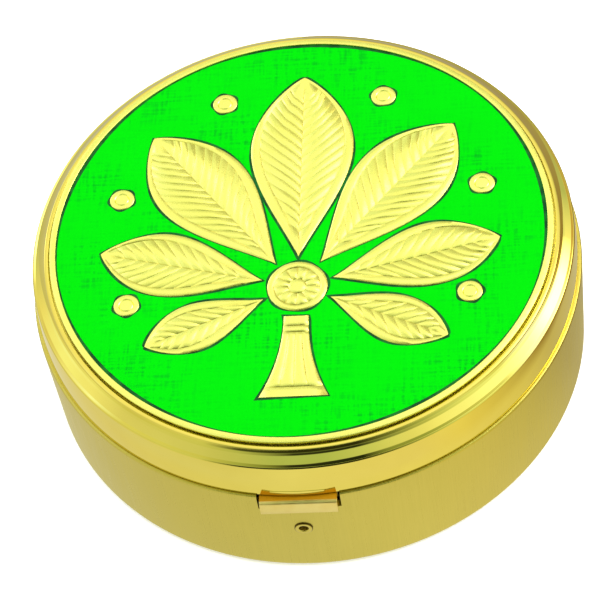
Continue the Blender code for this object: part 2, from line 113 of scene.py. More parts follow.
def rampOf(tree, value, stops, peak=1.0):
    # stops are (value, (r, g, b)) in the value's own units; the colours are stored as shares of the peak
    low, high = stops[0][0], stops[-1][0]
    node = addNode(tree, "ShaderNodeValToRGB", {"Fac": spread(tree, value, low, high, 0.0, 1.0)})
    marks = node.color_ramp.elements
    marks[0].position, marks[1].position = 0.0, 1.0
    for at, _ in stops[1:-1]:
        marks.new((at - low) / (high - low))
    for mark, (_, shade) in zip(marks, stops):
        mark.color = (*(c / peak for c in shade), 1.0)
    return node.outputs["Color"]

def objectPoint(tree):
    return addNode(tree, "ShaderNodeTexCoord").outputs["Object"]

def noiseAt(tree, point, scale, detail=2.0, rough=0.5):
    node = addNode(tree, "ShaderNodeTexNoise", {"Vector": point, "Scale": scale, "Detail": detail,
                                                "Roughness": rough})
    return node.outputs["Fac"]

def distanceOf(tree, a, b, least=None):
    squares = calc(tree, "MULTIPLY", b, b)
    if least is not None:
        squares = calc(tree, "ADD", squares, least)
    return calc(tree, "SQRT", calc(tree, "ADD", calc(tree, "MULTIPLY", a, a), squares))

def headingOf(tree, x, y):
    return calc(tree, "DEGREES", calc(tree, "ARCTAN2", x, calc(tree, "MULTIPLY", y, -1.0)))

def stretched(tree, point, scale):
    return addNode(tree, "ShaderNodeMapping", {"Vector": point, "Scale": scale}).outputs[0]

def roundPoint(tree, point, around, up):
    # direction from the box's axis times one scale, height times another: no seam anywhere round the wall
    parts = split(tree, point)
    reach = distanceOf(tree, parts[0], parts[1], 1e-9)
    x = calc(tree, "MULTIPLY", calc(tree, "DIVIDE", parts[0], reach), around)
    y = calc(tree, "MULTIPLY", calc(tree, "DIVIDE", parts[1], reach), around)
    z = calc(tree, "MULTIPLY", parts[2], up)
    return addNode(tree, "ShaderNodeCombineXYZ", {"X": x, "Y": y, "Z": z}).outputs[0]

def addBump(tree, shader, height, distance, strength):
    node = addNode(tree, "ShaderNodeBump", {"Height": height, "Distance": distance, "Strength": strength})
    tree.links.new(node.outputs[0], shader.inputs["Normal"])

def setShader(shader, **values):
    names = {"base": "Base Color", "metal": "Metallic", "rough": "Roughness",
             "specular": "Specular IOR Level"}
    for key, value in values.items():
        shader.inputs[names[key]].default_value = value

def roughenBy(tree, shader, value, rough, less, more):
    # the roughness wanders round its middle value with the grain
    grained = spread(tree, value, 0.3, 0.7, rough - less, rough + more)
    tree.links.new(grained, shader.inputs["Roughness"])


# ---- finishes

def satinGold():
    # plated wall rubbed upright: fine lines up and down, faint broad clouding
    look = {"light": srgb(215, 198, 90), "dark": srgb(204, 188, 80), "rough": 0.3,
            "lines": 420.0, "linesUp": 260.0, "bands": 105.0, "bandsUp": 90.0, "cloud": 90.0,
            "depth": 0.0012 * mm, "strength": 0.8}
    mat, tree, shader = newMaterial("satinGold")
    point = objectPoint(tree)
    bands = noiseAt(tree, roundPoint(tree, point, look["bands"], look["bandsUp"]), 1.0, 3.0, 0.6)
    lines = noiseAt(tree, roundPoint(tree, point, look["lines"], look["linesUp"]), 1.0, 2.0, 0.6)
    lines = weighted(tree, bands, 0.5, lines, 0.5)
    shade = weighted(tree, lines, 0.8, noiseAt(tree, point, look["cloud"]), 0.25)
    colour = mottled(tree, shade, 0.38, 0.68, look["dark"], look["light"])
    tree.links.new(colour, shader.inputs["Base Color"])
    roughenBy(tree, shader, lines, look["rough"], 0.06, 0.1)
    setShader(shader, metal=1.0)
    addBump(tree, shader, lines, look["depth"], look["strength"])
    return mat

def polishedGold():
    # bright plating with a little orange peel and faint turned lines; duller inside the lid
    look = {"light": srgb(240, 221, 102), "dark": srgb(233, 213, 95), "rough": 0.03,
            "insideRough": 0.3, "insideReach": 29.0 * mm, "insideTop": 18.0 * mm, "cloud": 120.0,
            "turned": 6.0, "turnedUp": 9000.0, "peel": 900.0, "depth": 0.0006 * mm, "strength": 0.5}
    mat, tree, shader = newMaterial("polishedGold")
    point = objectPoint(tree)
    cloud = noiseAt(tree, point, look["cloud"], 3.0)
    tree.links.new(mottled(tree, cloud, 0.35, 0.65, look["dark"], look["light"]), shader.inputs["Base Color"])
    wipe = noiseAt(tree, roundPoint(tree, point, look["turned"], look["turnedUp"]), 1.0, 3.0, 0.6)
    x, y, z = split(tree, point)
    reach = distanceOf(tree, x, y)
    rise = calc(tree, "MAXIMUM", calc(tree, "SUBTRACT", z, look["insideTop"]), 0.0)
    inside = calc(tree, "LESS_THAN", calc(tree, "ADD", reach, rise), look["insideReach"])
    shine = spread(tree, wipe, 0.3, 0.75, look["rough"] - 0.02, look["rough"] + 0.03)
    dull = calc(tree, "MULTIPLY", inside, look["insideRough"])
    tree.links.new(calc(tree, "MAXIMUM", shine, dull), shader.inputs["Roughness"])
    setShader(shader, metal=1.0)
    addBump(tree, shader, noiseAt(tree, point, look["peel"]), look["depth"], look["strength"])
    return mat

def reliefGold():
    # pale struck surface; the cut attribute is 1 at the bottom of an engraved line, where a darker colour is
    # painted as shade
    look = {"light": srgb(252, 250, 127), "dark": srgb(249, 246, 119), "cut": srgb(232, 216, 92),
            "rough": 0.26, "grain": 1400.0, "cloud": 160.0, "uneven": 700.0, "depth": 0.003 * mm,
            "strength": 0.5}
    mat, tree, shader = newMaterial("reliefGold")
    point = objectPoint(tree)
    grain = noiseAt(tree, point, look["grain"], 3.0, 0.6)
    cloud = noiseAt(tree, point, look["cloud"])
    plain = mottled(tree, cloud, 0.35, 0.65, look["dark"], look["light"])
    cut = addNode(tree, "ShaderNodeAttribute", attribute_name="cut").outputs["Fac"]
    # painted shade in the engraved lines, stronger in some patches than in others
    uneven = spread(tree, noiseAt(tree, point, look["uneven"]), 0.35, 0.6, 0.35, 1.0)
    grooveShade = calc(tree, "MULTIPLY", cut, uneven, clamp=True)
    tree.links.new(blendColours(tree, grooveShade, plain, look["cut"]), shader.inputs["Base Color"])
    roughenBy(tree, shader, grain, look["rough"], 0.05, 0.08)
    setShader(shader, metal=1.0)
    addBump(tree, shader, grain, look["depth"], look["strength"])
    return mat

def springGold():
    # bright plating; on the shelf of the thumb tab, between the lip and the fold, a painted shade makes it
    # coppery and less metallic
    look = {"light": srgb(242, 222, 132), "dark": srgb(236, 212, 118), "thin": srgb(188, 132, 0),
            "rough": 0.36, "shelfShadeMetal": 0.35, "grain": (800.0, 500.0, 500.0), "depth": 0.002 * mm,
            "strength": 0.5,
            "shelfFront": -30.1 * mm, "shelfLow": 13.5 * mm, "shelfHigh": 14.0 * mm, "shelfFade": 0.05 * mm}
    mat, tree, shader = newMaterial("springGold")
    point = objectPoint(tree)
    grain = noiseAt(tree, stretched(tree, point, look["grain"]), 1.0)
    plain = mottled(tree, grain, 0.35, 0.65, look["dark"], look["light"])
    parts = split(tree, point)
    front, fade = look["shelfFront"], look["shelfFade"]
    # painted shade: the shelf in the fold gets a dark coppery colour and less metal
    thin = spread(tree, parts[1], front - fade, front + fade, 0.0, 1.0)
    thin = calc(tree, "MULTIPLY", thin, calc(tree, "GREATER_THAN", parts[2], look["shelfLow"]))
    thin = calc(tree, "MULTIPLY", thin, calc(tree, "LESS_THAN", parts[2], look["shelfHigh"]))
    tree.links.new(blendColours(tree, thin, plain, look["thin"]), shader.inputs["Base Color"])
    tree.links.new(spread(tree, thin, 0.0, 1.0, 1.0, look["shelfShadeMetal"]), shader.inputs["Metallic"])
    roughenBy(tree, shader, grain, look["rough"], 0.04, 0.08)
    addBump(tree, shader, grain, look["depth"], look["strength"])
    return mat

def rivetGold():
    # brushed like the wall around it, with a painted shade in the seam under its edge
    look = {"face": srgb(214, 196, 92), "seamShade": srgb(96, 78, 22), "rough": 0.32,
            "height": partingHeight - 6.0 * mm, "seamStart": 0.86 * mm, "seamEnd": 0.9 * mm}
    mat, tree, shader = newMaterial("rivetGold")
    x, _, z = split(tree, objectPoint(tree))
    up = calc(tree, "SUBTRACT", z, look["height"])
    out = distanceOf(tree, x, up)
    # painted shade: the outer rim of the flange is coloured dark where it meets the wall
    shade = mottled(tree, out, look["seamStart"], look["seamEnd"], look["face"], look["seamShade"])
    tree.links.new(shade, shader.inputs["Base Color"])
    setShader(shader, metal=1.0, rough=look["rough"])
    return mat

def greenEnamel():
    # vivid enamel: darker specks in drifts and a faint woven hatch
    look = {"green": srgb(0, 188, 6), "speck": srgb(2, 134, 22), "rough": 0.45, "specular": 0.02,
            "across": (2600.0, 260.0, 1.0), "along": (260.0, 2600.0, 1.0), "drift": 95.0,
            "depth": 0.01 * mm, "strength": 0.25}
    mat, tree, shader = newMaterial("greenEnamel")
    point = objectPoint(tree)
    weave = calc(tree, "MULTIPLY", noiseAt(tree, stretched(tree, point, look["across"]), 1.0),
                 noiseAt(tree, stretched(tree, point, look["along"]), 1.0))
    drift = spread(tree, noiseAt(tree, point, look["drift"], 3.0, 0.6), 0.46, 0.66, 0.0, 1.0)
    specks = spread(tree, weave, 0.24, 0.4, 0.0, 1.0)
    drift = calc(tree, "ADD", calc(tree, "MULTIPLY", drift, 0.75), 0.12)
    mottle = calc(tree, "MULTIPLY", specks, drift, clamp=True)
    body = blendColours(tree, mottle, look["green"], look["speck"])
    tree.links.new(body, shader.inputs["Base Color"])
    setShader(shader, rough=look["rough"], specular=look["specular"])
    addBump(tree, shader, weave, look["depth"], look["strength"])
    return mat

def borderShade():
    # painted shade: a dark green line on the enamel in the step beside raised metal; the specks on the rim
    # share this colour
    look = {"green": srgb(18, 92, 30), "deep": srgb(10, 60, 24), "rough": 0.4, "specular": 0.1,
            "cloud": 600.0}
    mat, tree, shader = newMaterial("borderShade")
    cloud = noiseAt(tree, objectPoint(tree), look["cloud"])
    tree.links.new(mottled(tree, cloud, 0.4, 0.6, look["deep"], look["green"]), shader.inputs["Base Color"])
    setShader(shader, rough=look["rough"], specular=look["specular"])
    return mat


finishes = {
    "satin": satinGold(),
    "polished": polishedGold(),
    "relief": reliefGold(),
    "spring": springGold(),
    "enamel": greenEnamel(),
    "border": borderShade(),
    "rivet": rivetGold(),
}
print("finishes made")


# ---- mesh helpers

def arcPoints(centre, radii, start, end, count):
    # one radius, or one across and one up
    across, up = radii if isinstance(radii, tuple) else (radii, radii)
    angles = [math.radians(start + (end - start) * i / count) for i in range(count + 1)]
    return [(centre[0] + across * math.cos(a), centre[1] + up * math.sin(a)) for a in angles]

def shadeByAngle(mesh):
    mesh.shade_smooth()
    mesh.set_sharp_from_angle(angle=math.radians(sharpAngle))

def newObject(name, mesh):
    obj = bpy.data.objects.new(name, mesh)
    bpy.context.scene.collection.objects.link(obj)
    return obj

def fromBmesh(name, bm):
    bmesh.ops.remove_doubles(bm, verts=bm.verts, dist=weld)
    bmesh.ops.recalc_face_normals(bm, faces=bm.faces)
    mesh = bpy.data.meshes.new(name)
    bm.to_mesh(mesh)
    bm.free()
    shadeByAngle(mesh)
    return newObject(name, mesh)

def dropEmptySlots(mesh):
    kept = [i for i, mat in enumerate(mesh.materials) if mat]
    indices = [kept.index(f.material_index) if f.material_index in kept else 0 for f in mesh.polygons]
    for i in reversed(range(len(mesh.materials))):
        if i not in kept:
            mesh.materials.pop(index=i)
    mesh.polygons.foreach_set("material_index", indices)

def settle(obj):
    # applies every modifier, merges doubles, turns faces outwards
    graph = bpy.context.evaluated_depsgraph_get()
    mesh = bpy.data.meshes.new_from_object(obj.evaluated_get(graph))
    dropEmptySlots(mesh)
    obj.modifiers.clear()
    bm = bmesh.new()
    bm.from_mesh(mesh)
    bmesh.ops.remove_doubles(bm, verts=bm.verts, dist=2 * weld)
    bmesh.ops.dissolve_degenerate(bm, edges=bm.edges, dist=weld)
    bmesh.ops.recalc_face_normals(bm, faces=bm.faces)
    bm.to_mesh(mesh)
    bm.free()
    shadeByAngle(mesh)
    obj.data = mesh
    return obj

def cutWith(obj, cutter):
    boolean = obj.modifiers.new("cut", "BOOLEAN")
    boolean.operation = "DIFFERENCE"
    boolean.object = cutter
    boolean.solver = "EXACT"
    bpy.context.view_layer.update()
    settle(obj)
    bpy.data.objects.remove(cutter)
    return obj

def cutBlock(obj, half, low, high):
    # low and high are the (y, z) corners of a block that reaches half to each side
    bm = bmesh.new()
    low, high = Vector((-half, *low)), Vector((half, *high))
    place = Matrix.Translation((low + high) / 2) @ Matrix.Diagonal(high - low).to_4x4()
    bmesh.ops.create_cube(bm, size=1.0, matrix=place)
    return cutWith(obj, fromBmesh("block", bm))

def bored(obj, radius, far, near, height):
    # a round hole through the front wall
    start, end = Vector((0, -far, height)), Vector((0, -near, height))
    along = end - start
    turn = Vector((0, 0, 1)).rotation_difference(along).to_matrix().to_4x4()
    bm = bmesh.new()
    bmesh.ops.create_cone(bm, cap_ends=True, segments=32, radius1=radius, radius2=radius,
                          depth=along.length, matrix=Matrix.Translation((start + end) / 2) @ turn)
    return cutWith(obj, fromBmesh("bore", bm))

def drawOut(bm, corners, along):
    # a flat face drawn out into a bar
    face = bm.faces.new([bm.verts.new(corner) for corner in corners])
    drawn = bmesh.ops.extrude_face_region(bm, geom=[face])["geom"]
    ends = [v for v in drawn if isinstance(v, bmesh.types.BMVert)]
    bmesh.ops.translate(bm, verts=ends, vec=along)

def finishPiece(obj, body, finish, *nodes):
    # one place for what every piece needs: material and body; the node it stands for is hidden
    if not obj.data.materials:
        obj.data.materials.append(finishes[finish])
    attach(obj, body)
    if nodes:
        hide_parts(*nodes)
    return obj


# ---- geometry nodes: one tree turns a profile, the other lays copies of a shape on points

def newTree(name, inputs):
    tree = bpy.data.node_groups.new(name, "GeometryNodeTree")
    tree.interface.new_socket(name="Geometry", in_out="INPUT", socket_type="NodeSocketGeometry")
    ids = {}
    for label, kind in inputs:
        socket = tree.interface.new_socket(name=label, in_out="INPUT", socket_type="NodeSocket" + kind)
        ids[label] = socket.identifier
    tree.interface.new_socket(name="Geometry", in_out="OUTPUT", socket_type="NodeSocketGeometry")
    return tree, ids, tree.nodes.new("NodeGroupInput").outputs, tree.nodes.new("NodeGroupOutput").inputs

def closeTree(tree, geometry, finish, result):
    real = addNode(tree, "GeometryNodeRealizeInstances", {"Geometry": geometry})
    painted = addNode(tree, "GeometryNodeSetMaterial", {"Geometry": real.outputs[0], "Material": finish})
    tree.links.new(painted.outputs[0], result[0])

def makeTurnTree():
    tree, ids, given, result = newTree("turnProfile", [("Steps", "Int"), ("Start radius", "Float"),
                                                       ("Finish", "Material")])
    circle = addNode(tree, "GeometryNodeCurvePrimitiveCircle", {"Resolution": given["Steps"],
                                                                "Radius": given["Start radius"]})
    profile = addNode(tree, "GeometryNodeMeshToCurve", {"Mesh": given["Geometry"]})
    skin = addNode(tree, "GeometryNodeCurveToMesh", {"Curve": circle.outputs["Curve"],
                                                     "Profile Curve": profile.outputs["Curve"]})
    merged = addNode(tree, "GeometryNodeMergeByDistance", {"Geometry": skin.outputs["Mesh"],
                                                           "Distance": weld})
    closeTree(tree, merged.outputs[0], given["Finish"], result)
    return tree, ids

def makeCopiesTree():
    # copies of a small shape on the given points, each turned by its heading and sized a little differently
    tree, ids, given, result = newTree("copiesOnPoints", [("Shape", "Object"), ("Size spread", "Float"),
                                                          ("Seed", "Int"), ("Finish", "Material")])
    shape = addNode(tree, "GeometryNodeObjectInfo", {"Object": given["Shape"]})
    low = calc(tree, "SUBTRACT", 1.0, given["Size spread"])
    high = calc(tree, "ADD", 1.0, given["Size spread"])
    size = addNode(tree, "FunctionNodeRandomValue", {2: low, 3: high, "Seed": given["Seed"]},
                   data_type="FLOAT")
    heading = addNode(tree, "GeometryNodeInputNamedAttribute", {"Name": "heading"}, data_type="FLOAT")
    turn = addNode(tree, "ShaderNodeCombineXYZ", {"Z": heading.outputs["Attribute"]})
    copies = addNode(tree, "GeometryNodeInstanceOnPoints", {
        "Points": given["Geometry"], "Instance": shape.outputs["Geometry"],
        "Rotation": turn.outputs[0], "Scale": size.outputs[1]})
    closeTree(tree, copies.outputs[0], given["Finish"], result)
    return tree, ids


turnTree, turnIds = makeTurnTree()
copiesTree, copiesIds = makeCopiesTree()

def useTree(obj, tree, ids, values):
    modifier = obj.modifiers.new(tree.name, "NODES")
    modifier.node_group = tree
    for label, value in values.items():
        modifier[ids[label]] = value
    bpy.context.view_layer.update()
    return settle(obj)

def turned(name, outline, finish, closed=False, steps=240):
    # outline is (radius, height) points; an open one starts and ends on the axis
    startRadius = 1 * mm
    points = [(r - startRadius, -z, 0) for r, z in outline]
    edges = [(i, i + 1) for i in range(len(points) - 1)] + ([(len(points) - 1, 0)] if closed else [])
    mesh = bpy.data.meshes.new(name)
    mesh.from_pydata(points, edges, [])
    obj = newObject(name, mesh)
    return useTree(obj, turnTree, turnIds, {"Steps": steps, "Start radius": startRadius,
                                            "Finish": finishes[finish]})

def copies(name, shape, places, finish, spread=0.0, seed=1):
    # places are (point, heading) pairs; the shape is removed once it is copied
    mesh = bpy.data.meshes.new(name)
    mesh.from_pydata([point for point, _ in places], [], [])
    headings = mesh.attributes.new("heading", "FLOAT", "POINT")
    for i, (_, heading) in enumerate(places):
        headings.data[i].value = heading
    obj = newObject(name, mesh)
    useTree(obj, copiesTree, copiesIds, {"Shape": shape, "Size spread": spread, "Seed": seed,
                                         "Finish": finishes[finish]})
    bpy.data.objects.remove(shape)
    return obj

def joined(name, parts):
    # several finished meshes as one object; each keeps its own material
    bm = bmesh.new()
    materials = []
    for part in parts:
        start = len(bm.faces)
        bm.from_mesh(part.data)
        bm.faces.ensure_lookup_table()
        local = [slot.material for slot in part.material_slots]
        for face in bm.faces[start:]:
            wanted = local[face.material_index]
            if wanted not in materials:
                materials.append(wanted)
            face.material_index = materials.index(wanted)
        bpy.data.objects.remove(part)
    mesh = bpy.data.meshes.new(name)
    bm.to_mesh(mesh)
    bm.free()
    for material in materials:
        mesh.materials.append(material)
    shadeByAngle(mesh)
    return newObject(name, mesh)

def swept(name, outline, finish, heading, halfWidth, steps=16):
    # a closed (radius, height) outline swept about the axis, to each side of +Y (1) or -Y (-1)
    half = halfWidth / max(r for r, _ in outline)
    bm = bmesh.new()
    turn = Matrix.Rotation(heading * math.pi / 2 - half, 3, "Z")
    face = bm.faces.new([bm.verts.new(turn @ Vector((r, 0, z))) for r, z in outline])
    bmesh.ops.spin(bm, geom=[face], cent=(0, 0, 0), axis=(0, 0, 1), angle=2 * half, steps=steps)
    obj = fromBmesh(name, bm)
    obj.data.materials.append(finishes[finish])
    return obj

def stripOutline(path, thick):
    # the path is the outer face, walked upwards; the inner face lies one thickness to its left
    inner = []
    for i, point in enumerate(path):
        before = (point - path[i - 1]).normalized() if i else (path[1] - path[0]).normalized()
        after = (path[i + 1] - point).normalized() if i < len(path) - 1 else before
        mean = (before + after).normalized()
        inner.append(point + Vector((-mean.y, mean.x)) * thick / max(mean.dot(after), 0.3))
    return [tuple(p) for p in list(path) + inner[::-1]]

def roundEdges(obj, width, angle=35):
    bevel = obj.modifiers.new("edges", "BEVEL")
    bevel.width = width
    bevel.segments = 2
    bevel.limit_method = "ANGLE"
    bevel.angle_limit = math.radians(angle)
    bpy.context.view_layer.update()
    return settle(obj)

print("node trees and helpers made")


# ---- base

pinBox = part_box("hinge_pin")
# how far a cutter reaches past a wall, and the room that the knuckles need round the pin
cutters = {"inside": 2.5 * mm, "outside": 2.0 * mm, "over": 1.0 * mm}
hingeRoom = {"knuckle": 0.6 * mm, "gap": 0.3 * mm}

cup = {"corner": 1.0 * mm, "taper": 0.05 * mm, "rimRound": (0.17 * mm, 0.42 * mm), "rimInside": 0.06 * mm,
       "rimGap": 0.2 * mm, "flatEdge": 2.0 * mm, "notchHalf": 4.3 * mm, "notchDrop": 2.4 * mm,
       "slotHalf": 6.5 * mm, "rivetHole": 0.83 * mm, "rivetDrop": 6.0 * mm}

def makeCup():
    foot = cupOuter - cup["taper"] - cup["corner"]
    rimHeight = partingHeight - cup["rimGap"]
    inner = cup["corner"] - baseSheet
    outline = [(0, 0), (foot - cup["flatEdge"], 0)]
    outline += arcPoints((foot, cup["corner"]), cup["corner"], -90, 0, 16)
    across, down = cup["rimRound"]
    outline += arcPoints((cupOuter - across, rimHeight - down), (across, down), 0, 90, 8)
    outline += arcPoints((cupOuter - baseSheet + cup["rimInside"], rimHeight - cup["rimInside"]),
                         cup["rimInside"], 90, 180, 3)
    outline += arcPoints((foot, cup["corner"]), inner, 0, -90, 10) + [(0, baseSheet)]
    obj = turned("baseCup", outline, "satin")
    over, far = cutters["over"], cupRadius + cutters["outside"]
    near = cupRadius - cutters["inside"]
    cutBlock(obj, cup["notchHalf"], (-far, partingHeight - cup["notchDrop"]), (-near, partingHeight + over))
    slotFloor = pinBox[0].z - hingeRoom["knuckle"] - hingeRoom["gap"]
    cutBlock(obj, cup["slotHalf"], (near, slotFloor), (far, partingHeight + over))
    bored(obj, cup["rivetHole"], far, near, partingHeight - cup["rivetDrop"])
    finishPiece(obj, "base", "satin", "base_cup")

collar = {"top": 2.1 * mm, "foot": 5.5 * mm, "gap": 0.3 * mm, "catchHalf": 4.9 * mm, "hingeHalf": 6.8 * mm,
          "cutInside": 4.0 * mm}

def makeCollar():
    outer = cupRadius - baseSheet - collar["gap"]
    middle, half = outer - sheetThick / 2, sheetThick / 2
    top, foot = partingHeight + collar["top"], partingHeight - collar["foot"]
    outline = [(outer - sheetThick, foot), (outer, foot)]
    outline += arcPoints((middle, top - half), half, 0, 180, 8)
    obj = turned("baseCollar", outline, "polished", closed=True)
    near, far = cupRadius - collar["cutInside"], cupRadius + cutters["outside"]
    over, under = top + cutters["over"], foot - cutters["over"]
    cutBlock(obj, collar["catchHalf"], (-far, under), (-near, over))
    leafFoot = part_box("base_hinge_leaf")[0].z - collar["gap"]
    cutBlock(obj, collar["hingeHalf"], (near, leafFoot), (far, over))
    finishPiece(obj, "base", "polished", "base_collar")


makeCup()
makeCollar()
print("base made")


# ---- lid

plateRadius = plateHigh.x
lid = {"seatGap": 0.26 * mm, "seatDrop": 1.15 * mm, "beadDrop": 0.45 * mm, "beadRise": 0.3 * mm,
       "beadSink": 0.05 * mm, "round": 0.07 * mm, "lipDrop": 0.12 * mm,
       "hem": 0.5 * mm, "hemRise": 1.0 * mm, "insideRadius": 28.85 * mm, "insideRise": 3.45 * mm,
       "seatInside": 27.6 * mm, "slotHalf": 6.5 * mm}
# from the bead's inner foot outwards: length of each run, tilt at its two ends (180 facing the middle,
# 90 level, 0 upright), facets
lidRuns = [(lid["beadRise"], 180, 180, 2), (0.09 * mm, 170, 96, 5), (0.36 * mm, 94, 84, 6),
           (0.05 * mm, 80, 42, 4), (0.06 * mm, 40, 25, 2),  # down the outside of the bead
           (0.11 * mm, 25, 42, 3), (1.33 * mm, 42, 56, 16), (0.08 * mm, 57, 70, 3),  # hollow, cove, crease
           (0.23 * mm, 76, 61, 8), (0.012 * mm, 60, 60, 1), (0.006 * mm, 52, 52, 1),  # shoulder
           (0.012 * mm, 43, 43, 1), (0.21 * mm, 42, 24, 6), (0.03 * mm, 20, 6, 2)]

# the wall stands out a hair where the strike is soldered behind it
patch = {"half": 2.8 * mm, "low": 0.1 * mm, "high": 0.62 * mm, "proud": 0.035 * mm, "sunk": 0.1 * mm}

def traced(start, runs):
    points = [start]
    for length, first, last, count in runs:
        for i in range(count):
            tilt = math.radians(first + (last - first) * (i + 0.5) / count)
            r, z = points[-1]
            points.append((r + math.sin(tilt) * length / count, z - math.cos(tilt) * length / count))
    return points

def makeLid():
    seat, seatHeight = plateRadius + lid["seatGap"], topHeight - lid["seatDrop"]
    beadFoot = topHeight - lid["beadDrop"] - lid["beadRise"] - lid["beadSink"]
    outline = [(0, seatHeight), (seat, seatHeight)] + traced((seat, beadFoot), lidRuns)
    wallTop = Vector(outline[-1])
    lip = partingHeight - lid["lipDrop"]
    outline += arcPoints((lipOuter - lid["round"], lip + lid["round"]), lid["round"], 4, -90, 10)
    hem = lipOuter - lid["hem"]
    outline += [(hem, lip), (hem, partingHeight + lid["hemRise"])]
    outline.append((lid["insideRadius"], partingHeight + lid["insideRise"]))
    outline += [(lid["seatInside"], seatHeight - sheetThick), (0, seatHeight - sheetThick)]
    obj = turned("lidShell", outline, "polished", steps=300)
    roof = pinBox[1].z + hingeRoom["knuckle"] + hingeRoom["gap"]
    cutBlock(obj, lid["slotHalf"], (cupRadius - cutters["inside"], partingHeight - cutters["over"]),
             (cupRadius + cutters["outside"], roof))
    wallFoot = Vector((lipOuter, lip + lid["round"]))
    def onWall(rise, out):
        return tuple(wallFoot.lerp(wallTop, rise / (wallTop.y - wallFoot.y)) + Vector((out, 0)))
    low, high, proud, sunk = patch["low"], patch["high"], patch["proud"], -patch["sunk"]
    edges = [onWall(low, sunk), onWall(low, proud), onWall(high, proud), onWall(high, sunk)]
    strikePatch = swept("strikePatch", edges, "polished", -1, patch["half"], 12)
    finishPiece(joined("lidShell", [obj, strikePatch]), "lid", "polished", "lid_shell")


makeLid()
print("lid made")


# ---- medallion

# heights are measured down from the top of the rim
medal = {"enamelRadius": 26.47 * mm, "rimRadius": 27.13 * mm, "ground": 0.62 * mm, "relief": 0.08 * mm,
         "enamelTop": 0.14 * mm, "rimEdge": 0.06 * mm, "rimTilts": (90, 82), "seatStep": 0.3 * mm,
         "root": 0.1 * mm}
groundHeight = topHeight - medal["ground"]
reliefHeight = topHeight - medal["relief"]
enamelHeight = topHeight - medal["enamelTop"]
reliefFoot = groundHeight - medal["root"]

palmette = {"lobes": 7, "pitch": math.radians(38), "reach": 21.5 * mm, "width": 0.45, "heartDrop": 7.5 * mm,
            "heartRadius": 3.2 * mm, "gap": 0.7 * mm, "berryReach": 20.3 * mm, "berryRadius": 1.35 * mm,
            "stemHalf": 1.3 * mm, "stemFootHalf": 3.6 * mm, "stemFlare": 2.2, "skew": 1.35, "belly": 0.8}
engraving = {"half": 0.1 * mm, "depth": 0.05 * mm, "veins": 13, "slant": 0.85, "margin": 0.85 * mm,
             "softEdge": 0.09 * mm, "edgeDrop": 0.05 * mm, "jitter": 0.012, "seed": 7, "fewest": 7,
             "usual": 22 * mm, "first": 0.1, "span": 0.78, "between": 0.39, "uneven": 0.65,
             "ends": (0.0, 0.01, 0.03, 0.06, 0.92, 0.95, 0.975, 0.99, 1.0),
             "rib": (0.05, 0.94), "border": (0.08, 0.93)}
stem = {"rows": 16, "without": (2, 3, 14), "rings": (0.12, 0.2, 0.88), "fluted": (0.22, 0.87),
        "flutes": (-0.5, 0.0, 0.5), "fluteDepth": 0.9}
heart = {"rings": (0.95 * mm, 2.45 * mm), "core": 0.4 * mm, "spokes": 12, "spokeHalf": 0.06,
         "spokeFrom": 1.0 * mm, "spokeTo": 2.45 * mm, "dip": (1.1 * mm, 2.4 * mm)}
heartPoint = Vector((0, -palmette["heartDrop"]))
stemTop = -palmette["heartDrop"] - palmette["heartRadius"] - palmette["gap"]

def spoke(heading, reach):
    along = Vector((math.sin(heading), math.cos(heading)))
    drop = palmette["heartDrop"]
    return along, drop * along.y + math.sqrt(reach**2 - (drop * along.x) ** 2)

def lobeFrame(heading):
    along, reach = spoke(heading, palmette["reach"])
    start = palmette["heartRadius"] + palmette["gap"]
    return along, heartPoint + along * start, reach - start

def lobeHalf(length, t):
    rise = max(math.sin(math.pi * min(max(t, 0), 1) ** palmette["skew"]), 0)
    return length * palmette["width"] / 2 * rise ** palmette["belly"]

def lobeOutline(heading, count=44):
    along, root, length = lobeFrame(heading)
    across = Vector((along.y, -along.x))
    right, left = [], []
    for i in range(count + 1):
        t = 0.5 - 0.5 * math.cos(math.pi * i / count)  # closer together at the ends
        right.append(root + along * (t * length) + across * lobeHalf(length, t))
        left.append(root + along * (t * length) - across * lobeHalf(length, t))
    return right + left[-2:0:-1]

def stemWidth(t):
    # a share of the way down the stem
    wider = palmette["stemFootHalf"] - palmette["stemHalf"]
    return palmette["stemHalf"] + wider * t ** palmette["stemFlare"]

def stemOutline(count=16):
    drop = -palmette["reach"] - stemTop
    right = [Vector((stemWidth(i / count), stemTop + i / count * drop)) for i in range(count + 1)]
    return [Vector((-p.x, p.y)) for p in right] + right[::-1]

def circleOutline(centre, radius, count):
    return [Vector(p) for p in arcPoints(centre, radius, 0, 360, count)[:-1]]

def lobeHeadings(offset=0.0, fewer=0):
    first = -(palmette["lobes"] - 1) / 2 + offset
    return [(first + i) * palmette["pitch"] for i in range(palmette["lobes"] - fewer)]

def berryPlaces():
    return [heartPoint + spoke(h, palmette["berryReach"])[0] * spoke(h, palmette["berryReach"])[1]
            for h in lobeHeadings(0.5, 1)]

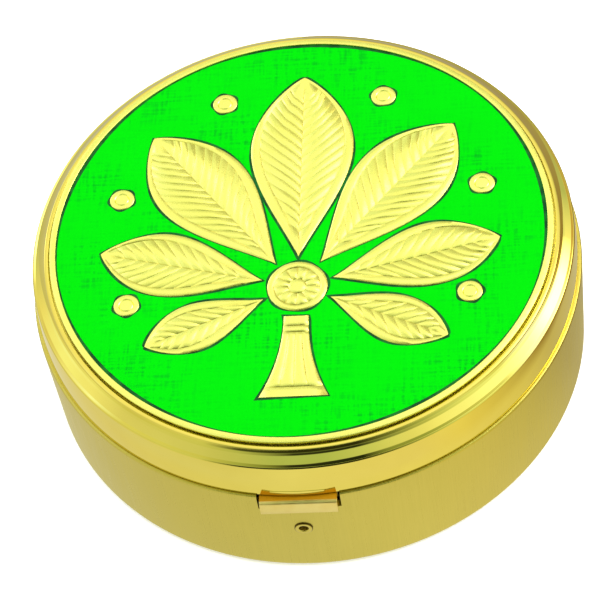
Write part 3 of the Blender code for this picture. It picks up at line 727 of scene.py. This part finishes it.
def gridSolid(bm, cutLayer, rows, foot):
    # rows of (x, y, z, cut) become a surface; its open rim is drawn down to the foot and closed
    made = []
    for row in rows:
        line = []
        for x, y, z, cut in row:
            vert = bm.verts.new((x, y, z))
            vert[cutLayer] = cut
            line.append(vert)
        made.append(line)
    faces = []
    for low, high in zip(made, made[1:]):
        for i in range(len(low) - 1):
            faces.append(bm.faces.new((low[i], low[i + 1], high[i + 1], high[i])))
    bmesh.ops.remove_doubles(bm, verts=[v for line in made for v in line], dist=2 * weld)
    faces = [f for f in faces if f.is_valid]
    rim = list({e for f in faces for e in f.edges if len(e.link_faces) == 1})
    drawn = bmesh.ops.extrude_edge_only(bm, edges=rim)["geom"]
    lower = [v for v in drawn if isinstance(v, bmesh.types.BMVert)]
    for vert in lower:
        vert.co.z = foot
        vert[cutLayer] = 0.0
    bottom = [e for e in drawn if isinstance(e, bmesh.types.BMEdge) and len(e.link_faces) == 1]
    bmesh.ops.holes_fill(bm, edges=bottom, sides=0)

def within(value, ends):
    return 1.0 if ends[0] < value < ends[1] else 0.0

def groove(at, half, cut=1.0):
    return [(at - half, 0.0), (at, cut), (at + half, 0.0)]

def surfaceAt(cut, atEdge):
    return reliefHeight - (engraving["edgeDrop"] if atEdge else engraving["depth"] * cut)

def lobeRows(heading, rng):
    # every side vein lies along one row of the grid, so its groove needs only three rows
    along, root, length = lobeFrame(heading)
    across = Vector((along.y, -along.x))
    half = engraving["half"]
    veins = max(engraving["fewest"], round(engraving["veins"] * length / engraving["usual"]))
    stations = [(s, 0.0) for s in engraving["ends"]]
    for i in range(veins):
        s = engraving["first"] + engraving["span"] * (i + 0.5) / veins
        s += rng.uniform(-1, 1) * engraving["jitter"] / 2
        stations += groove(s, half / length, rng.uniform(engraving["uneven"], 1.0))
        stations.append((s + engraving["between"] / veins, 0.0))
    stations.sort()
    rows = []
    for s, vein in stations:
        w = max(lobeHalf(length, s), 1e-9)
        margin = max(w - engraving["margin"], 0.55 * w)
        thin = min(half, 0.1 * w)
        inRib = within(s, engraving["rib"])
        inMargin = within(s, engraving["border"])
        columns = [
            (0.0, 0.85 * inRib), (min(half, 0.25 * w) / w, vein * 0.5), (0.5 * margin / w, vein),
            ((margin - thin) / w, vein * 0.6), (margin / w, 0.8 * inMargin), ((margin + thin) / w, 0.0),
            (max(1 - engraving["softEdge"] / w, 0.9), 0.0), (1.0, None)]
        row = []
        for side in (-1, 1):
            for share, cut in (columns[::-1] if side < 0 else columns[1:]):
                t = s + engraving["slant"] * share * s * (1 - s)
                flat = root + along * (t * length) + across * (side * share * lobeHalf(length, t))
                row.append((flat.x, flat.y, surfaceAt(cut, cut is None), cut or 0.0))
        rows.append(row)
    return rows

def heartRows():
    # a round boss with two engraved rings and short spokes between them
    radii = [(1e-6, 0.0), (heart["core"], 0.0)]
    for ring in heart["rings"]:
        radii += groove(ring, engraving["half"])
    radii += [(palmette["heartRadius"] - engraving["softEdge"], 0.0), (palmette["heartRadius"], None)]
    spokes, turn = heart["spokes"], math.tau
    angles = []
    for i in range(spokes):
        middle = turn * i / spokes
        angles += groove(middle, heart["spokeHalf"]) + [(middle + turn / spokes / 2, 0.0)]
    angles.append((angles[0][0] + turn, 0.0))
    rows = []
    for angle, spokeCut in angles:
        row = []
        for radius, ringCut in radii:
            between = heart["dip"][0] < radius < heart["dip"][1] or (
                ringCut == 0.0 and heart["spokeFrom"] < radius < heart["spokeTo"])
            cut = max(ringCut or 0.0, spokeCut if between else 0.0)
            row.append((heartPoint.x + radius * math.cos(angle), heartPoint.y + radius * math.sin(angle),
                        surfaceAt(cut, ringCut is None), cut))
        rows.append(row)
    return rows

def stemRows():
    # flutes down the stem, a pair of bands near its top and one above its foot
    length = palmette["reach"] + stemTop
    half = engraving["half"]
    stations = [(i / stem["rows"], 0.0) for i in range(stem["rows"] + 1) if i not in stem["without"]]
    for s in stem["rings"]:
        stations += groove(s, half / length)
    stations.sort()
    rows = []
    for s, band in stations:
        w = stemWidth(s)
        fluted = within(s, stem["fluted"]) * stem["fluteDepth"]
        row = []
        columns = [(-1.0, None), (-1 + engraving["softEdge"] / w, 0.0)]
        for middle in stem["flutes"]:
            columns += groove(middle, half / w, fluted)
        columns += [(1 - engraving["softEdge"] / w, 0.0), (1.0, None)]
        for share, cut in columns:
            deep = max(cut or 0.0, band if cut is not None else 0.0)
            row.append((share * w, stemTop - s * length, surfaceAt(deep, cut is None), deep))
        rows.append(row)
    return rows

def makeRelief():
    bm = bmesh.new()
    cutLayer = bm.verts.layers.float.new("cut")
    rng = random.Random(engraving["seed"])
    for heading in lobeHeadings():
        gridSolid(bm, cutLayer, lobeRows(heading, rng), reliefFoot)
    gridSolid(bm, cutLayer, heartRows(), reliefFoot)
    gridSolid(bm, cutLayer, stemRows(), reliefFoot)
    obj = fromBmesh("relief", bm)
    obj.data.materials.append(finishes["relief"])
    return obj

berry = {"edge": 0.1 * mm, "groove": (0.62, 0.55, 0.48), "grooveDepth": 0.08 * mm, "crown": 0.02 * mm,
         "spread": 0.03, "seed": 3}

def makeBerries():
    r, edge = palmette["berryRadius"], berry["edge"]
    rise = reliefHeight - groundHeight + medal["root"]
    outline = [(0, 0), (r, 0)] + arcPoints((r - edge, rise - edge), edge, 0, 90, 3)
    outer, middle, inner = berry["groove"]
    outline += [(outer * r, rise), (middle * r, rise - berry["grooveDepth"]), (inner * r, rise),
                (0, rise + berry["crown"])]
    shape = turned("berry", outline, "relief", steps=40)
    places = [((p.x, p.y, reliefFoot), 0.0) for p in berryPlaces()]
    return copies("berries", shape, places, "relief", berry["spread"], berry["seed"])

def makeMedallion():
    seatTop = plateLow.z + medal["seatStep"]
    inner, edge = medal["enamelRadius"], medal["rimEdge"]
    outline = [(0, groundHeight), (inner, groundHeight)]
    outline += arcPoints((inner + edge, topHeight - edge), edge, 180, 92, 5)
    across = medal["rimRadius"] - inner
    outline += traced(outline[-1], [(across - 2 * edge, *medal["rimTilts"], 8)])[1:]
    outline += arcPoints((inner + across - edge, outline[-1][1] - edge), edge, 78, 0, 5)
    outline += [(inner + across, seatTop), (plateRadius, seatTop), (plateRadius, plateLow.z)]
    outline.append((0, plateLow.z))
    plate = turned("plate", outline, "relief", steps=300)
    obj = joined("medallionPlate", [plate, makeRelief(), makeBerries()])
    finishPiece(obj, "lid", "relief", "medallion_plate")

def offsetOutline(outline, distance, phase=0.0):
    # the distance swells and thins along the outline
    moved = []
    for i, point in enumerate(outline):
        before = (point - outline[i - 1]).normalized()
        after = (outline[(i + 1) % len(outline)] - point).normalized()
        outwards = Vector((before.y + after.y, -before.x - after.x)).normalized()
        swell = 1 + enamel["sway"] * math.sin(5 * math.atan2(outwards.y, outwards.x) + phase)
        square = max(outwards.dot(Vector((after.y, -after.x))), 0.5)
        moved.append(point + outwards * distance * swell / square)
    return moved

enamel = {"line": 0.22 * mm, "rimLine": 0.3 * mm, "sway": 0.45, "dip": 0.03 * mm, "under": 0.02 * mm,
          "thick": 0.22 * mm}

def makeEnamel():
    # the flat outlines are cut into triangles together; faces within a line's width of metal are the border,
    # where shade is painted dark green
    edge = medal["enamelRadius"] + enamel["under"]
    holes = [lobeOutline(h) for h in lobeHeadings()]
    holes += [circleOutline(heartPoint, palmette["heartRadius"], 72), stemOutline()]
    holes += [circleOutline(p, palmette["berryRadius"], 36) for p in berryPlaces()]
    outer = circleOutline((0, 0), edge, 300)
    outlines = [outer] + holes
    soft = [offsetOutline(circleOutline((0, 0), edge, 300), -enamel["rimLine"], 0.7)]
    soft += [offsetOutline(h, enamel["line"], i) for i, h in enumerate(holes)]
    coords, faces = [], []
    for outline in outlines + soft:
        faces.append(list(range(len(coords), len(coords) + len(outline))))
        coords += outline
    edgePoints = sum(len(o) for o in outlines)
    verts, _, triangles, sources, _, holders = delaunay_2d_cdt(coords, [], faces, 1, weld)
    bm = bmesh.new()
    made = []
    for place, source in zip(verts, sources):
        onEdge = any(i < edgePoints for i in source)
        made.append(bm.verts.new((place.x, place.y, enamelHeight - (enamel["dip"] if onEdge else 0))))
    tops = []
    holeIds, softIds = range(1, len(outlines)), range(len(outlines) + 1, len(faces))
    for corners, held in zip(triangles, holders):
        if 0 in held and not any(i in holeIds for i in held):
            face = bm.faces.new([made[i] for i in corners])
            # faces near metal take the second material, the painted border shade
            face.material_index = int(len(outlines) not in held or any(i in softIds for i in held))
            tops.append(face)
    bmesh.ops.delete(bm, geom=[v for v in bm.verts if not v.link_faces], context="VERTS")
    drawn = bmesh.ops.extrude_face_region(bm, geom=tops)["geom"]
    for vert in [v for v in drawn if isinstance(v, bmesh.types.BMVert)]:
        vert.co.z = enamelHeight - enamel["thick"]
    obj = fromBmesh("enamelGround", bm)
    for finish in ("enamel", "border"):
        obj.data.materials.append(finishes[finish])
    finishPiece(obj, "lid", "enamel", "enamel_ground")

nicks = {"count": 11, "radius": 0.13 * mm, "drop": 0.16 * mm, "long": 1.6, "flat": 0.35, "scatter": 0.06,
         "sizes": 0.5, "seed": 5}

def makeNicks():
    # specks of enamel left on the inner side of the rim
    bm = bmesh.new()
    bmesh.ops.create_icosphere(bm, subdivisions=2, radius=nicks["radius"],
                               matrix=Matrix.Diagonal((1.0, nicks["long"], nicks["flat"], 1.0)))
    rng = random.Random(nicks["seed"])
    places = []
    for _ in range(nicks["count"]):
        angle = rng.uniform(0, math.tau)
        reach = medal["enamelRadius"] + rng.uniform(0.0, nicks["scatter"]) * mm
        place = (reach * math.cos(angle), reach * math.sin(angle), topHeight - nicks["drop"])
        places.append((place, angle))
    obj = copies("enamelNicks", fromBmesh("nick", bm), places, "border", nicks["sizes"], nicks["seed"])
    finishPiece(obj, "lid", "border")


makeMedallion()
makeEnamel()
makeNicks()
print("medallion made")


# ---- hinge

pinLow, pinHigh = pinBox
hinge = {"y": (pinLow.y + pinHigh.y) / 2, "z": (pinLow.z + pinHigh.z) / 2, "knuckle": 1.0 * mm,
         "bore": 0.52 * mm, "round": 0.1 * mm, "length": 2.2 * mm, "gap": 0.25 * mm, "count": 5,
         "leaf": 0.35 * mm, "rise": 0.2 * mm, "leafHeight": 2.2 * mm, "half": 5.9 * mm,
         "pinRound": 0.12 * mm}
# straps join the knuckles to their leaf: offsets from the pin at one end, from the leaf at the other
strapEnds = {"back": 0.55 * mm, "low": 0.55 * mm, "rootLow": 0.14 * mm, "rootHigh": 0.56 * mm,
             "front": 0.05 * mm, "high": 0.95 * mm, "inset": 0.05 * mm}

def knuckleShape():
    length, round_ = hinge["length"], hinge["round"]
    outline = [(hinge["bore"], -length / 2)]
    outline += arcPoints((hinge["knuckle"] - round_, round_ - length / 2), round_, -90, 0, 3)
    outline += arcPoints((hinge["knuckle"] - round_, length / 2 - round_), round_, 0, 90, 3)
    outline += [(hinge["bore"], length / 2)]
    shape = turned("knuckle", outline, "polished", closed=True, steps=48)
    shape.data.transform(Matrix.Rotation(math.pi / 2, 4, "Y"))
    return shape

def makeLeaf(name, body, numbers, side, radius):
    centres = [(i - (hinge["count"] - 1) / 2) * (hinge["length"] + hinge["gap"]) for i in numbers]
    places = [((x, hinge["y"], hinge["z"]), 0.0) for x in centres]
    knuckles = copies("knuckles", knuckleShape(), places, "polished")
    near = hinge["z"] + side * hinge["rise"]
    far = near + side * hinge["leafHeight"]
    inner = radius - hinge["leaf"]
    outline = [(inner, near), (radius, near), (radius, far), (inner, far)]
    plate = swept("leaf", outline, "satin", 1, hinge["half"])
    bm = bmesh.new()
    for x in centres:
        low, high = x - hinge["length"] / 2, x + hinge["length"] / 2
        root = math.sqrt((radius - hinge["leaf"] / 2) ** 2 - max(low**2, high**2))
        strap = [(hinge["y"] - strapEnds["back"], hinge["z"] + side * strapEnds["low"]),
                 (root, near + side * strapEnds["rootLow"]), (root, near + side * strapEnds["rootHigh"]),
                 (hinge["y"] - strapEnds["front"], hinge["z"] + side * strapEnds["high"])]
        drawOut(bm, [(low + strapEnds["inset"], y, z) for y, z in strap],
                (hinge["length"] - 2 * strapEnds["inset"], 0, 0))
    straps = fromBmesh("straps", bm)
    straps.data.materials.append(finishes["polished"])
    node = "lid_hinge_leaf" if side > 0 else "base_hinge_leaf"
    obj = joined(name, [knuckles, plate, straps])
    finishPiece(obj, body, "satin", node)

def makePin():
    reach, round_ = pinHigh.x, hinge["pinRound"]
    radius = pinHigh.z - hinge["z"]
    outline = [(0, -reach)] + arcPoints((radius - round_, round_ - reach), round_, -90, 0, 4)
    outline += arcPoints((radius - round_, reach - round_), round_, 0, 90, 4) + [(0, reach)]
    pin = turned("hingePin", outline, "spring", steps=32)
    lay = Matrix.Rotation(math.pi / 2, 4, "Y")
    pin.data.transform(Matrix.Translation((0, hinge["y"], hinge["z"])) @ lay)
    finishPiece(pin, "base", "spring", "hinge_pin")


leafRadius = cupRadius - baseSheet - collar["gap"]
lidLeafInset = 0.1 * mm
makeLeaf("baseLeaf", "base", (0, 2, 4), -1, leafRadius)
makeLeaf("lidLeaf", "lid", (1, 3), 1, leafRadius - lidLeafInset)
makePin()
print("hinge made")


# ---- catch

catch = {"strip": 0.35 * mm, "thumbHalf": 4.0 * mm, "tailHalf": 2.4 * mm, "tongueHalf": 1.9 * mm,
         "tailFoot": 1.9 * mm, "fold": 0.37 * mm, "foot": 2.3 * mm, "padFront": 30.45 * mm,
         "shelfDrop": 0.36 * mm, "thumbRoot": 2.2 * mm, "bend": 0.06 * mm, "edge": 0.05 * mm,
         "tongueRoots": (1.6 * mm, 1.25 * mm), "tongueBends": (0.4 * mm, 0.3 * mm),
         "noseRadius": 28.3 * mm, "noseReach": 0.35 * mm, "noseFoot": 1.25 * mm,
         "noseFace": (0.1 * mm, 0.35 * mm), "noseRise": 0.9 * mm}

def straightStrip(name, path, thick, halfWidth):
    # a bent strip that runs straight across: the path is (radius, height) at the front
    bm = bmesh.new()
    drawOut(bm, [(-halfWidth, -r, z) for r, z in stripOutline(path, thick)], (2 * halfWidth, 0, 0))
    obj = fromBmesh(name, bm)
    obj.data.materials.append(finishes["spring"])
    return obj

def makeSpring():
    radius, strip, bend = leafRadius, catch["strip"], catch["bend"]
    shelf = partingHeight - catch["shelfDrop"]
    rivetHeight = partingHeight - cup["rivetDrop"]
    tail = [Vector((radius, rivetHeight - catch["tailFoot"])), Vector((radius, shelf - 2 * strip))]
    tail = swept("catchSpring", stripOutline(tail, strip), "spring", -1, catch["tailHalf"], 8)
    bored(tail, cup["rivetHole"], hinge["y"], radius - cutters["outside"], rivetHeight)
    front = catch["padFront"] - strip
    inner = Vector((radius + bend, shelf - strip - bend))
    outer = Vector((front - bend, partingHeight - catch["fold"] - strip - bend))
    slope = math.degrees(math.atan2(outer.y - inner.y, outer.x - inner.x)) + 90
    thumbPath = [(radius, shelf - catch["thumbRoot"])] + arcPoints(inner, bend, 180, slope, 10)
    thumbPath += arcPoints(outer, bend, slope, 0, 8) + [(front, partingHeight - catch["foot"])]
    thumb = straightStrip("thumb", [Vector(point) for point in thumbPath], strip, catch["thumbHalf"])
    nose, reach = partingHeight + catch["noseFoot"], catch["noseRadius"]
    back, top = reach - catch["noseReach"], nose + catch["noseRise"]
    rootBack, rootFront = catch["tongueRoots"]
    bendFront, bendBack = catch["tongueBends"]
    faceLow, faceHigh = catch["noseFace"]
    tonguePath = [(radius - 0.8 * strip, shelf - rootBack), (radius - 0.3 * strip, shelf - rootFront),
                  (back, partingHeight + bendFront), (back, nose), (reach, nose + faceLow),
                  (reach, nose + faceHigh), (back, top), (back - strip, top),
                  (back - strip, partingHeight + bendBack)]
    tongue = swept("tongue", tonguePath, "spring", -1, catch["tongueHalf"], 8)
    parts = [roundEdges(part, catch["edge"], 50) for part in (tail, thumb, tongue)]
    finishPiece(joined("catchSpring", parts), "catch", "spring", "catch_spring")

rivet = {"shank": 0.68 * mm, "bore": 0.5 * mm, "flange": 0.97 * mm, "thick": 0.12 * mm, "gap": 0.15 * mm,
         "proud": 0.04 * mm, "edgeInset": 0.03 * mm, "edgeSink": 0.05 * mm}

def makeRivet():
    outerFace = cupOuter + rivet["proud"]
    innerFace = leafRadius - catch["strip"] - rivet["gap"]
    middle, half = (rivet["bore"] + rivet["flange"]) / 2, (rivet["flange"] - rivet["bore"]) / 2
    outline = arcPoints((middle, outerFace), (half, rivet["thick"]), 180, 0, 12)
    under = outerFace - rivet["edgeSink"]
    outline += [(rivet["flange"] - rivet["edgeInset"], under), (rivet["shank"], under)]
    outline += [(rivet["shank"], innerFace), (rivet["flange"], innerFace)]
    outline += [(rivet["flange"], innerFace - rivet["thick"] * 0.7),
                (rivet["shank"], innerFace - rivet["thick"])]
    outline += [(rivet["bore"], innerFace - rivet["thick"])]
    obj = turned("catchRivet", outline, "rivet", closed=True, steps=64)
    lay = Matrix.Rotation(math.pi / 2, 4, "X")
    obj.data.transform(Matrix.Translation((0, 0, partingHeight - cup["rivetDrop"])) @ lay)
    finishPiece(obj, "base", "rivet", "catch_rivet")

strike = {"gap": 0.15 * mm, "foot": 0.3 * mm, "top": 1.1 * mm, "sheet": 0.3 * mm, "ramp": 0.15 * mm,
          "half": 2.8 * mm, "edge": 0.04 * mm}

def makeStrike():
    inner, ramp = catch["noseRadius"] + strike["gap"], strike["ramp"]
    low, high = partingHeight + strike["foot"], partingHeight + strike["top"]
    outer = inner + strike["sheet"]
    outline = [(inner + ramp, low), (outer, low), (outer, high), (inner, high), (inner, low + ramp)]
    obj = swept("lidStrike", outline, "spring", -1, strike["half"], 12)
    obj = roundEdges(obj, strike["edge"])
    finishPiece(obj, "lid", "spring", "lid_strike")


makeSpring()
makeRivet()
makeStrike()
print("catch made")


# ---- stage, light and camera

# What the studio shows to a polished surface, as colours against the surface's heading in degrees
# (0 front, 90 right). The tent is pale all round, with a strip light at the right and a weaker one at the
# left. The dark gap where it opens at the front has four versions. Each replaces the tent in one band of
# the surface's tilt (0 upright, 90 level), which fades in, holds and fades out between the four tilts given.
# Above the last tilts there is one pale ceiling. The floor has a near and a far table of painted shades,
# which polished metal shows.
studio = {
    "peak": 8.0,
    "bands": {
        "gapStep": (19, 23, 41.5, 42.5),
        "gapLow": (41.5, 42.5, 44.3, 45),
        "gapEdge": (54.5, 55.3, 59, 60),
        "gapHigh": (59, 60, 77, 79),
    },
    "tent": [(-120, (0.5, 0.6, 0.5)), (-100, (0.55, 0.65, 0.5)), (-88, (0.7, 0.75, 0.7)),
             (-75, (1.0, 1.0, 0.9)), (-62, (1.15, 1.3, 1.5)), (-50, (1.08, 1.15, 1.2)),
             (-40, (0.84, 0.88, 0.85)), (-20, (0.74, 0.81, 0.75)), (-12, (0.64, 0.74, 0.65)),
             (-4, (0.5, 0.65, 0.52)), (6, (0.5, 0.67, 0.52)), (16, (0.68, 0.82, 0.68)),
             (24, (0.9, 0.98, 0.9)), (32, (1.08, 1.15, 1.1)), (42, (1.2, 1.35, 1.5)), (52, (1.6, 1.7, 2.0)),
             (60, (3.0, 3.0, 3.5)), (68, (7.0, 7.0, 7.0)), (78, (7.0, 7.0, 7.0)), (88, (1.2, 1.25, 1.2)),
             (100, (0.56, 0.68, 0.6)), (120, (0.5, 0.5, 0.4))],
    "gapStep": [(-120, (0.5, 0.6, 0.5)), (-90, (1.1, 1.3, 1.5)), (-70, (0.85, 0.85, 0.7)),
                (-50, (1.0, 1.1, 1.1)), (-40, (0.76, 0.8, 0.6)), (-20, (0.72, 0.8, 0.6)),
                (-12, (0.08, 0.1, 0.06)), (0, (0.03, 0.035, 0.02)), (14, (0.03, 0.035, 0.02)),
                (21, (0.18, 0.22, 0.12)), (30, (0.5, 0.62, 0.45)), (40, (0.85, 1.0, 0.9)),
                (50, (0.86, 0.95, 0.7)), (60, (1.15, 1.35, 3.0)), (70, (1.0, 1.05, 1.2)),
                (80, (0.56, 0.42, 0.2)), (90, (0.22, 0.14, 0.06)), (120, (0.4, 0.35, 0.2))],
    "gapLow": [(-120, (0.5, 0.6, 0.5)), (-75, (0.95, 1.0, 0.9)), (-62, (1.15, 1.35, 1.8)),
               (-50, (1.1, 1.2, 1.3)), (-40, (0.82, 0.87, 0.8)), (-20, (0.7, 0.78, 0.6)),
               (-12, (0.55, 0.66, 0.5)), (-5, (0.28, 0.34, 0.25)), (0, (0.04, 0.05, 0.04)),
               (14, (0.02, 0.03, 0.02)), (20, (0.24, 0.3, 0.22)), (30, (0.58, 0.68, 0.5)),
               (40, (0.9, 1.05, 0.9)), (50, (1.1, 1.3, 1.4)), (60, (2.0, 2.0, 2.5)), (68, (6.0, 6.0, 6.0)),
               (78, (6.0, 6.0, 6.0)), (88, (1.0, 1.1, 1.0)), (120, (0.5, 0.5, 0.4))],
    "gapEdge": [(-120, (0.5, 0.6, 0.5)), (-75, (1.0, 1.0, 0.9)), (-50, (1.08, 1.15, 1.2)),
                (-40, (0.84, 0.88, 0.85)), (-20, (0.74, 0.81, 0.75)), (-4, (0.5, 0.65, 0.5)),
                (3, (0.4, 0.5, 0.4)), (7, (0.03, 0.04, 0.03)), (15, (0.02, 0.03, 0.02)),
                (20, (0.5, 0.58, 0.4)), (32, (1.05, 1.1, 1.0)), (52, (1.6, 1.7, 2.0)),
                (68, (7.0, 7.0, 7.0)), (78, (7.0, 7.0, 7.0)), (88, (1.2, 1.25, 1.2)),
                (120, (0.5, 0.5, 0.4))],
    "gapHigh": [(-120, (0.9, 1.0, 1.0)), (-92, (3.0, 3.0, 4.0)), (-82, (0.95, 1.0, 1.0)),
                (-70, (0.84, 0.8, 0.7)), (-60, (1.05, 1.1, 1.2)), (-50, (1.18, 1.4, 2.2)),
                (-40, (0.86, 0.9, 0.7)), (-20, (0.72, 0.78, 0.55)), (-12, (0.45, 0.55, 0.35)),
                (-6, (0.25, 0.3, 0.15)), (-1, (0.03, 0.035, 0.03)), (15, (0.02, 0.03, 0.02)),
                (21, (0.3, 0.38, 0.2)), (30, (0.4, 0.5, 0.3)), (40, (0.66, 0.74, 0.5)),
                (50, (0.85, 0.95, 0.8)), (60, (2.5, 2.5, 3.5)), (72, (4.0, 4.0, 4.5)),
                (80, (1.0, 0.95, 0.8)), (90, (0.7, 0.5, 0.3)), (120, (0.5, 0.5, 0.4))],
    "above": (1.17, 1.17, 1.1), "aboveTilts": (76.0, 87.0),
    "farFloor": [(-180, (0.5, 0.5, 0.5)), (-120, (0.66, 0.68, 0.7)), (-80, (0.8, 0.8, 0.7)),
                 (-30, (0.83, 0.84, 0.8)), (-5, (0.9, 0.9, 0.88)), (30, (0.95, 0.91, 0.85)),
                 (44, (0.94, 0.87, 0.55)), (55, (0.8, 0.72, 0.4)), (68, (0.6, 0.52, 0.3)),
                 (80, (0.36, 0.25, 0.12)), (110, (0.34, 0.24, 0.12)), (180, (0.5, 0.5, 0.5))],
    "nearFloor": [(-180, (0.7, 0.7, 0.6)), (-90, (0.82, 0.79, 0.6)), (-30, (0.84, 0.83, 0.66)),
                  (0, (0.88, 0.88, 0.8)), (25, (0.96, 0.94, 0.78)), (45, (0.94, 0.89, 0.64)),
                  (62, (0.82, 0.76, 0.45)), (80, (0.62, 0.56, 0.36)), (110, (0.6, 0.56, 0.4)),
                  (180, (0.7, 0.7, 0.6))],
    "nearReach": 40.5 * mm, "farReach": 43.5 * mm, "floorSize": 3.0, "floorSink": 0.02 * mm,
    "floorGlow": 0.42, "keyPower": 3.0, "keySize": 0.5, "keyPlace": (0.05, -0.05, 0.6),
    "keyAim": (0, 0, 0.01),
}
shot = {"azimuth": 10.2, "elevation": 53.2, "roll": 10.66, "distance": 0.27, "lens": 148.95,
        "sensor": 36.0, "nearest": 0.01, "farthest": 20.0,
        "aimDrop": 5.45 * mm, "aimRight": -0.519 * mm, "aimUp": -4.389 * mm}

def shotAxes():
    a, e = math.radians(shot["azimuth"]), math.radians(shot["elevation"])
    back = Vector((math.sin(a) * math.cos(e), -math.cos(a) * math.cos(e), math.sin(e)))
    level = Vector((math.cos(a), math.sin(a), 0))
    upright = back.cross(level)
    r = math.radians(shot["roll"])
    return level * math.cos(r) - upright * math.sin(r), level * math.sin(r) + upright * math.cos(r), back

def makeCamera():
    right, up, back = shotAxes()
    camera = bpy.data.cameras.new("camera")
    camera.lens, camera.sensor_width = shot["lens"], shot["sensor"]
    camera.clip_start, camera.clip_end = shot["nearest"], shot["farthest"]
    obj = newObject("camera", camera)
    aim = Vector((0, 0, topHeight - shot["aimDrop"])) + right * shot["aimRight"] + up * shot["aimUp"]
    place = Matrix((right, up, back)).transposed().to_4x4()
    place.translation = aim + back * shot["distance"]
    obj.matrix_world = place
    bpy.context.scene.camera = obj

def makeWorld():
    # a direction is known by the facing of the surface that would mirror it to the front, half way between
    world = bpy.data.worlds.new("studio")
    world.use_nodes = True
    bpy.context.scene.world = world
    tree = world.node_tree
    tree.nodes.clear()
    _, _, back = shotAxes()
    away = addNode(tree, "ShaderNodeTexCoord").outputs["Generated"]
    between = addNode(tree, "ShaderNodeVectorMath", {0: away, 1: tuple(back)}, operation="ADD").outputs[0]
    facing = addNode(tree, "ShaderNodeVectorMath", {0: between}, operation="NORMALIZE").outputs[0]
    x, y, z = split(tree, facing)
    heading = headingOf(tree, x, y)
    tilt = calc(tree, "DEGREES", calc(tree, "ARCSINE", z))
    peak = studio["peak"]
    dark, pale = (0, 0, 0), (1, 1, 1)
    around = rampOf(tree, heading, studio["tent"], peak)
    for gap, (start, low, high, end) in studio["bands"].items():
        band = [(0, dark), (start, dark), (low, pale), (high, pale), (end, dark), (90, dark)]
        shown = rampOf(tree, heading, studio[gap], peak)
        around = blendColours(tree, rampOf(tree, tilt, band), around, shown)
    overhead = spread(tree, tilt, *studio["aboveTilts"], 0.0, 1.0)
    shown = blendColours(tree, overhead, around, (*(c / peak for c in studio["above"]), 1.0))
    light = addNode(tree, "ShaderNodeBackground", {"Color": shown, "Strength": peak})
    seen = addNode(tree, "ShaderNodeBackground", {"Color": (1, 1, 1, 1), "Strength": 1.0})
    rays = addNode(tree, "ShaderNodeLightPath")
    pick = addNode(tree, "ShaderNodeMixShader", {0: rays.outputs["Is Camera Ray"], 1: light.outputs[0],
                                                 2: seen.outputs[0]})
    addNode(tree, "ShaderNodeOutputWorld", {"Surface": pick.outputs[0]})

def makeFloor():
    # white to look at, with the box's own shadow; in polished metal it shows painted shades instead, tinted,
    # with a painted shadow dimming it at the right
    mat, tree, shader = newMaterial("paleFloor")
    setShader(shader, base=(0.9, 0.9, 0.9, 1.0), rough=0.9, specular=0.0)
    rays = addNode(tree, "ShaderNodeLightPath").outputs
    glow = addNode(tree, "ShaderNodeEmission", {"Color": (1, 1, 1, 1), "Strength": calc(
        tree, "MULTIPLY", rays["Is Camera Ray"], studio["floorGlow"])})
    both = addNode(tree, "ShaderNodeAddShader", {0: shader.outputs[0], 1: glow.outputs[0]})
    parts = split(tree, objectPoint(tree))
    heading = headingOf(tree, parts[0], parts[1])
    across = distanceOf(tree, parts[0], parts[1])
    far = spread(tree, across, studio["nearReach"], studio["farReach"], 0.0, 1.0)
    shades = blendColours(tree, far, rampOf(tree, heading, studio["nearFloor"]),
                          rampOf(tree, heading, studio["farFloor"]))
    mirrored = addNode(tree, "ShaderNodeEmission", {"Color": shades})
    inMetal = calc(tree, "MAXIMUM", rays["Is Glossy Ray"], rays["Is Transmission Ray"])
    pick = addNode(tree, "ShaderNodeMixShader", {0: inMetal, 1: both.outputs[0], 2: mirrored.outputs[0]})
    tree.links.new(pick.outputs[0], tree.nodes["Material Output"].inputs["Surface"])
    bm = bmesh.new()
    bmesh.ops.create_grid(bm, x_segments=1, y_segments=1, size=studio["floorSize"],
                          matrix=Matrix.Translation((0, 0, -studio["floorSink"])))
    mesh = bpy.data.meshes.new("floor")
    bm.to_mesh(mesh)
    bm.free()
    mesh.materials.append(mat)
    newObject("floor", mesh)

def makeLight():
    # one soft round lamp above, kept out of the polished metal
    lamp = bpy.data.lights.new("keyBox", "AREA")
    lamp.shape = "DISK"
    lamp.size, lamp.energy = studio["keySize"], studio["keyPower"]
    obj = newObject("keyBox", lamp)
    obj.location = studio["keyPlace"]
    away = Vector(studio["keyPlace"]) - Vector(studio["keyAim"])
    obj.rotation_euler = away.to_track_quat("Z", "Y").to_euler()
    obj.visible_glossy = False


makeCamera()
makeWorld()
makeFloor()
makeLight()
bpy.context.scene.view_settings.view_transform = "Standard"
print("stage made")
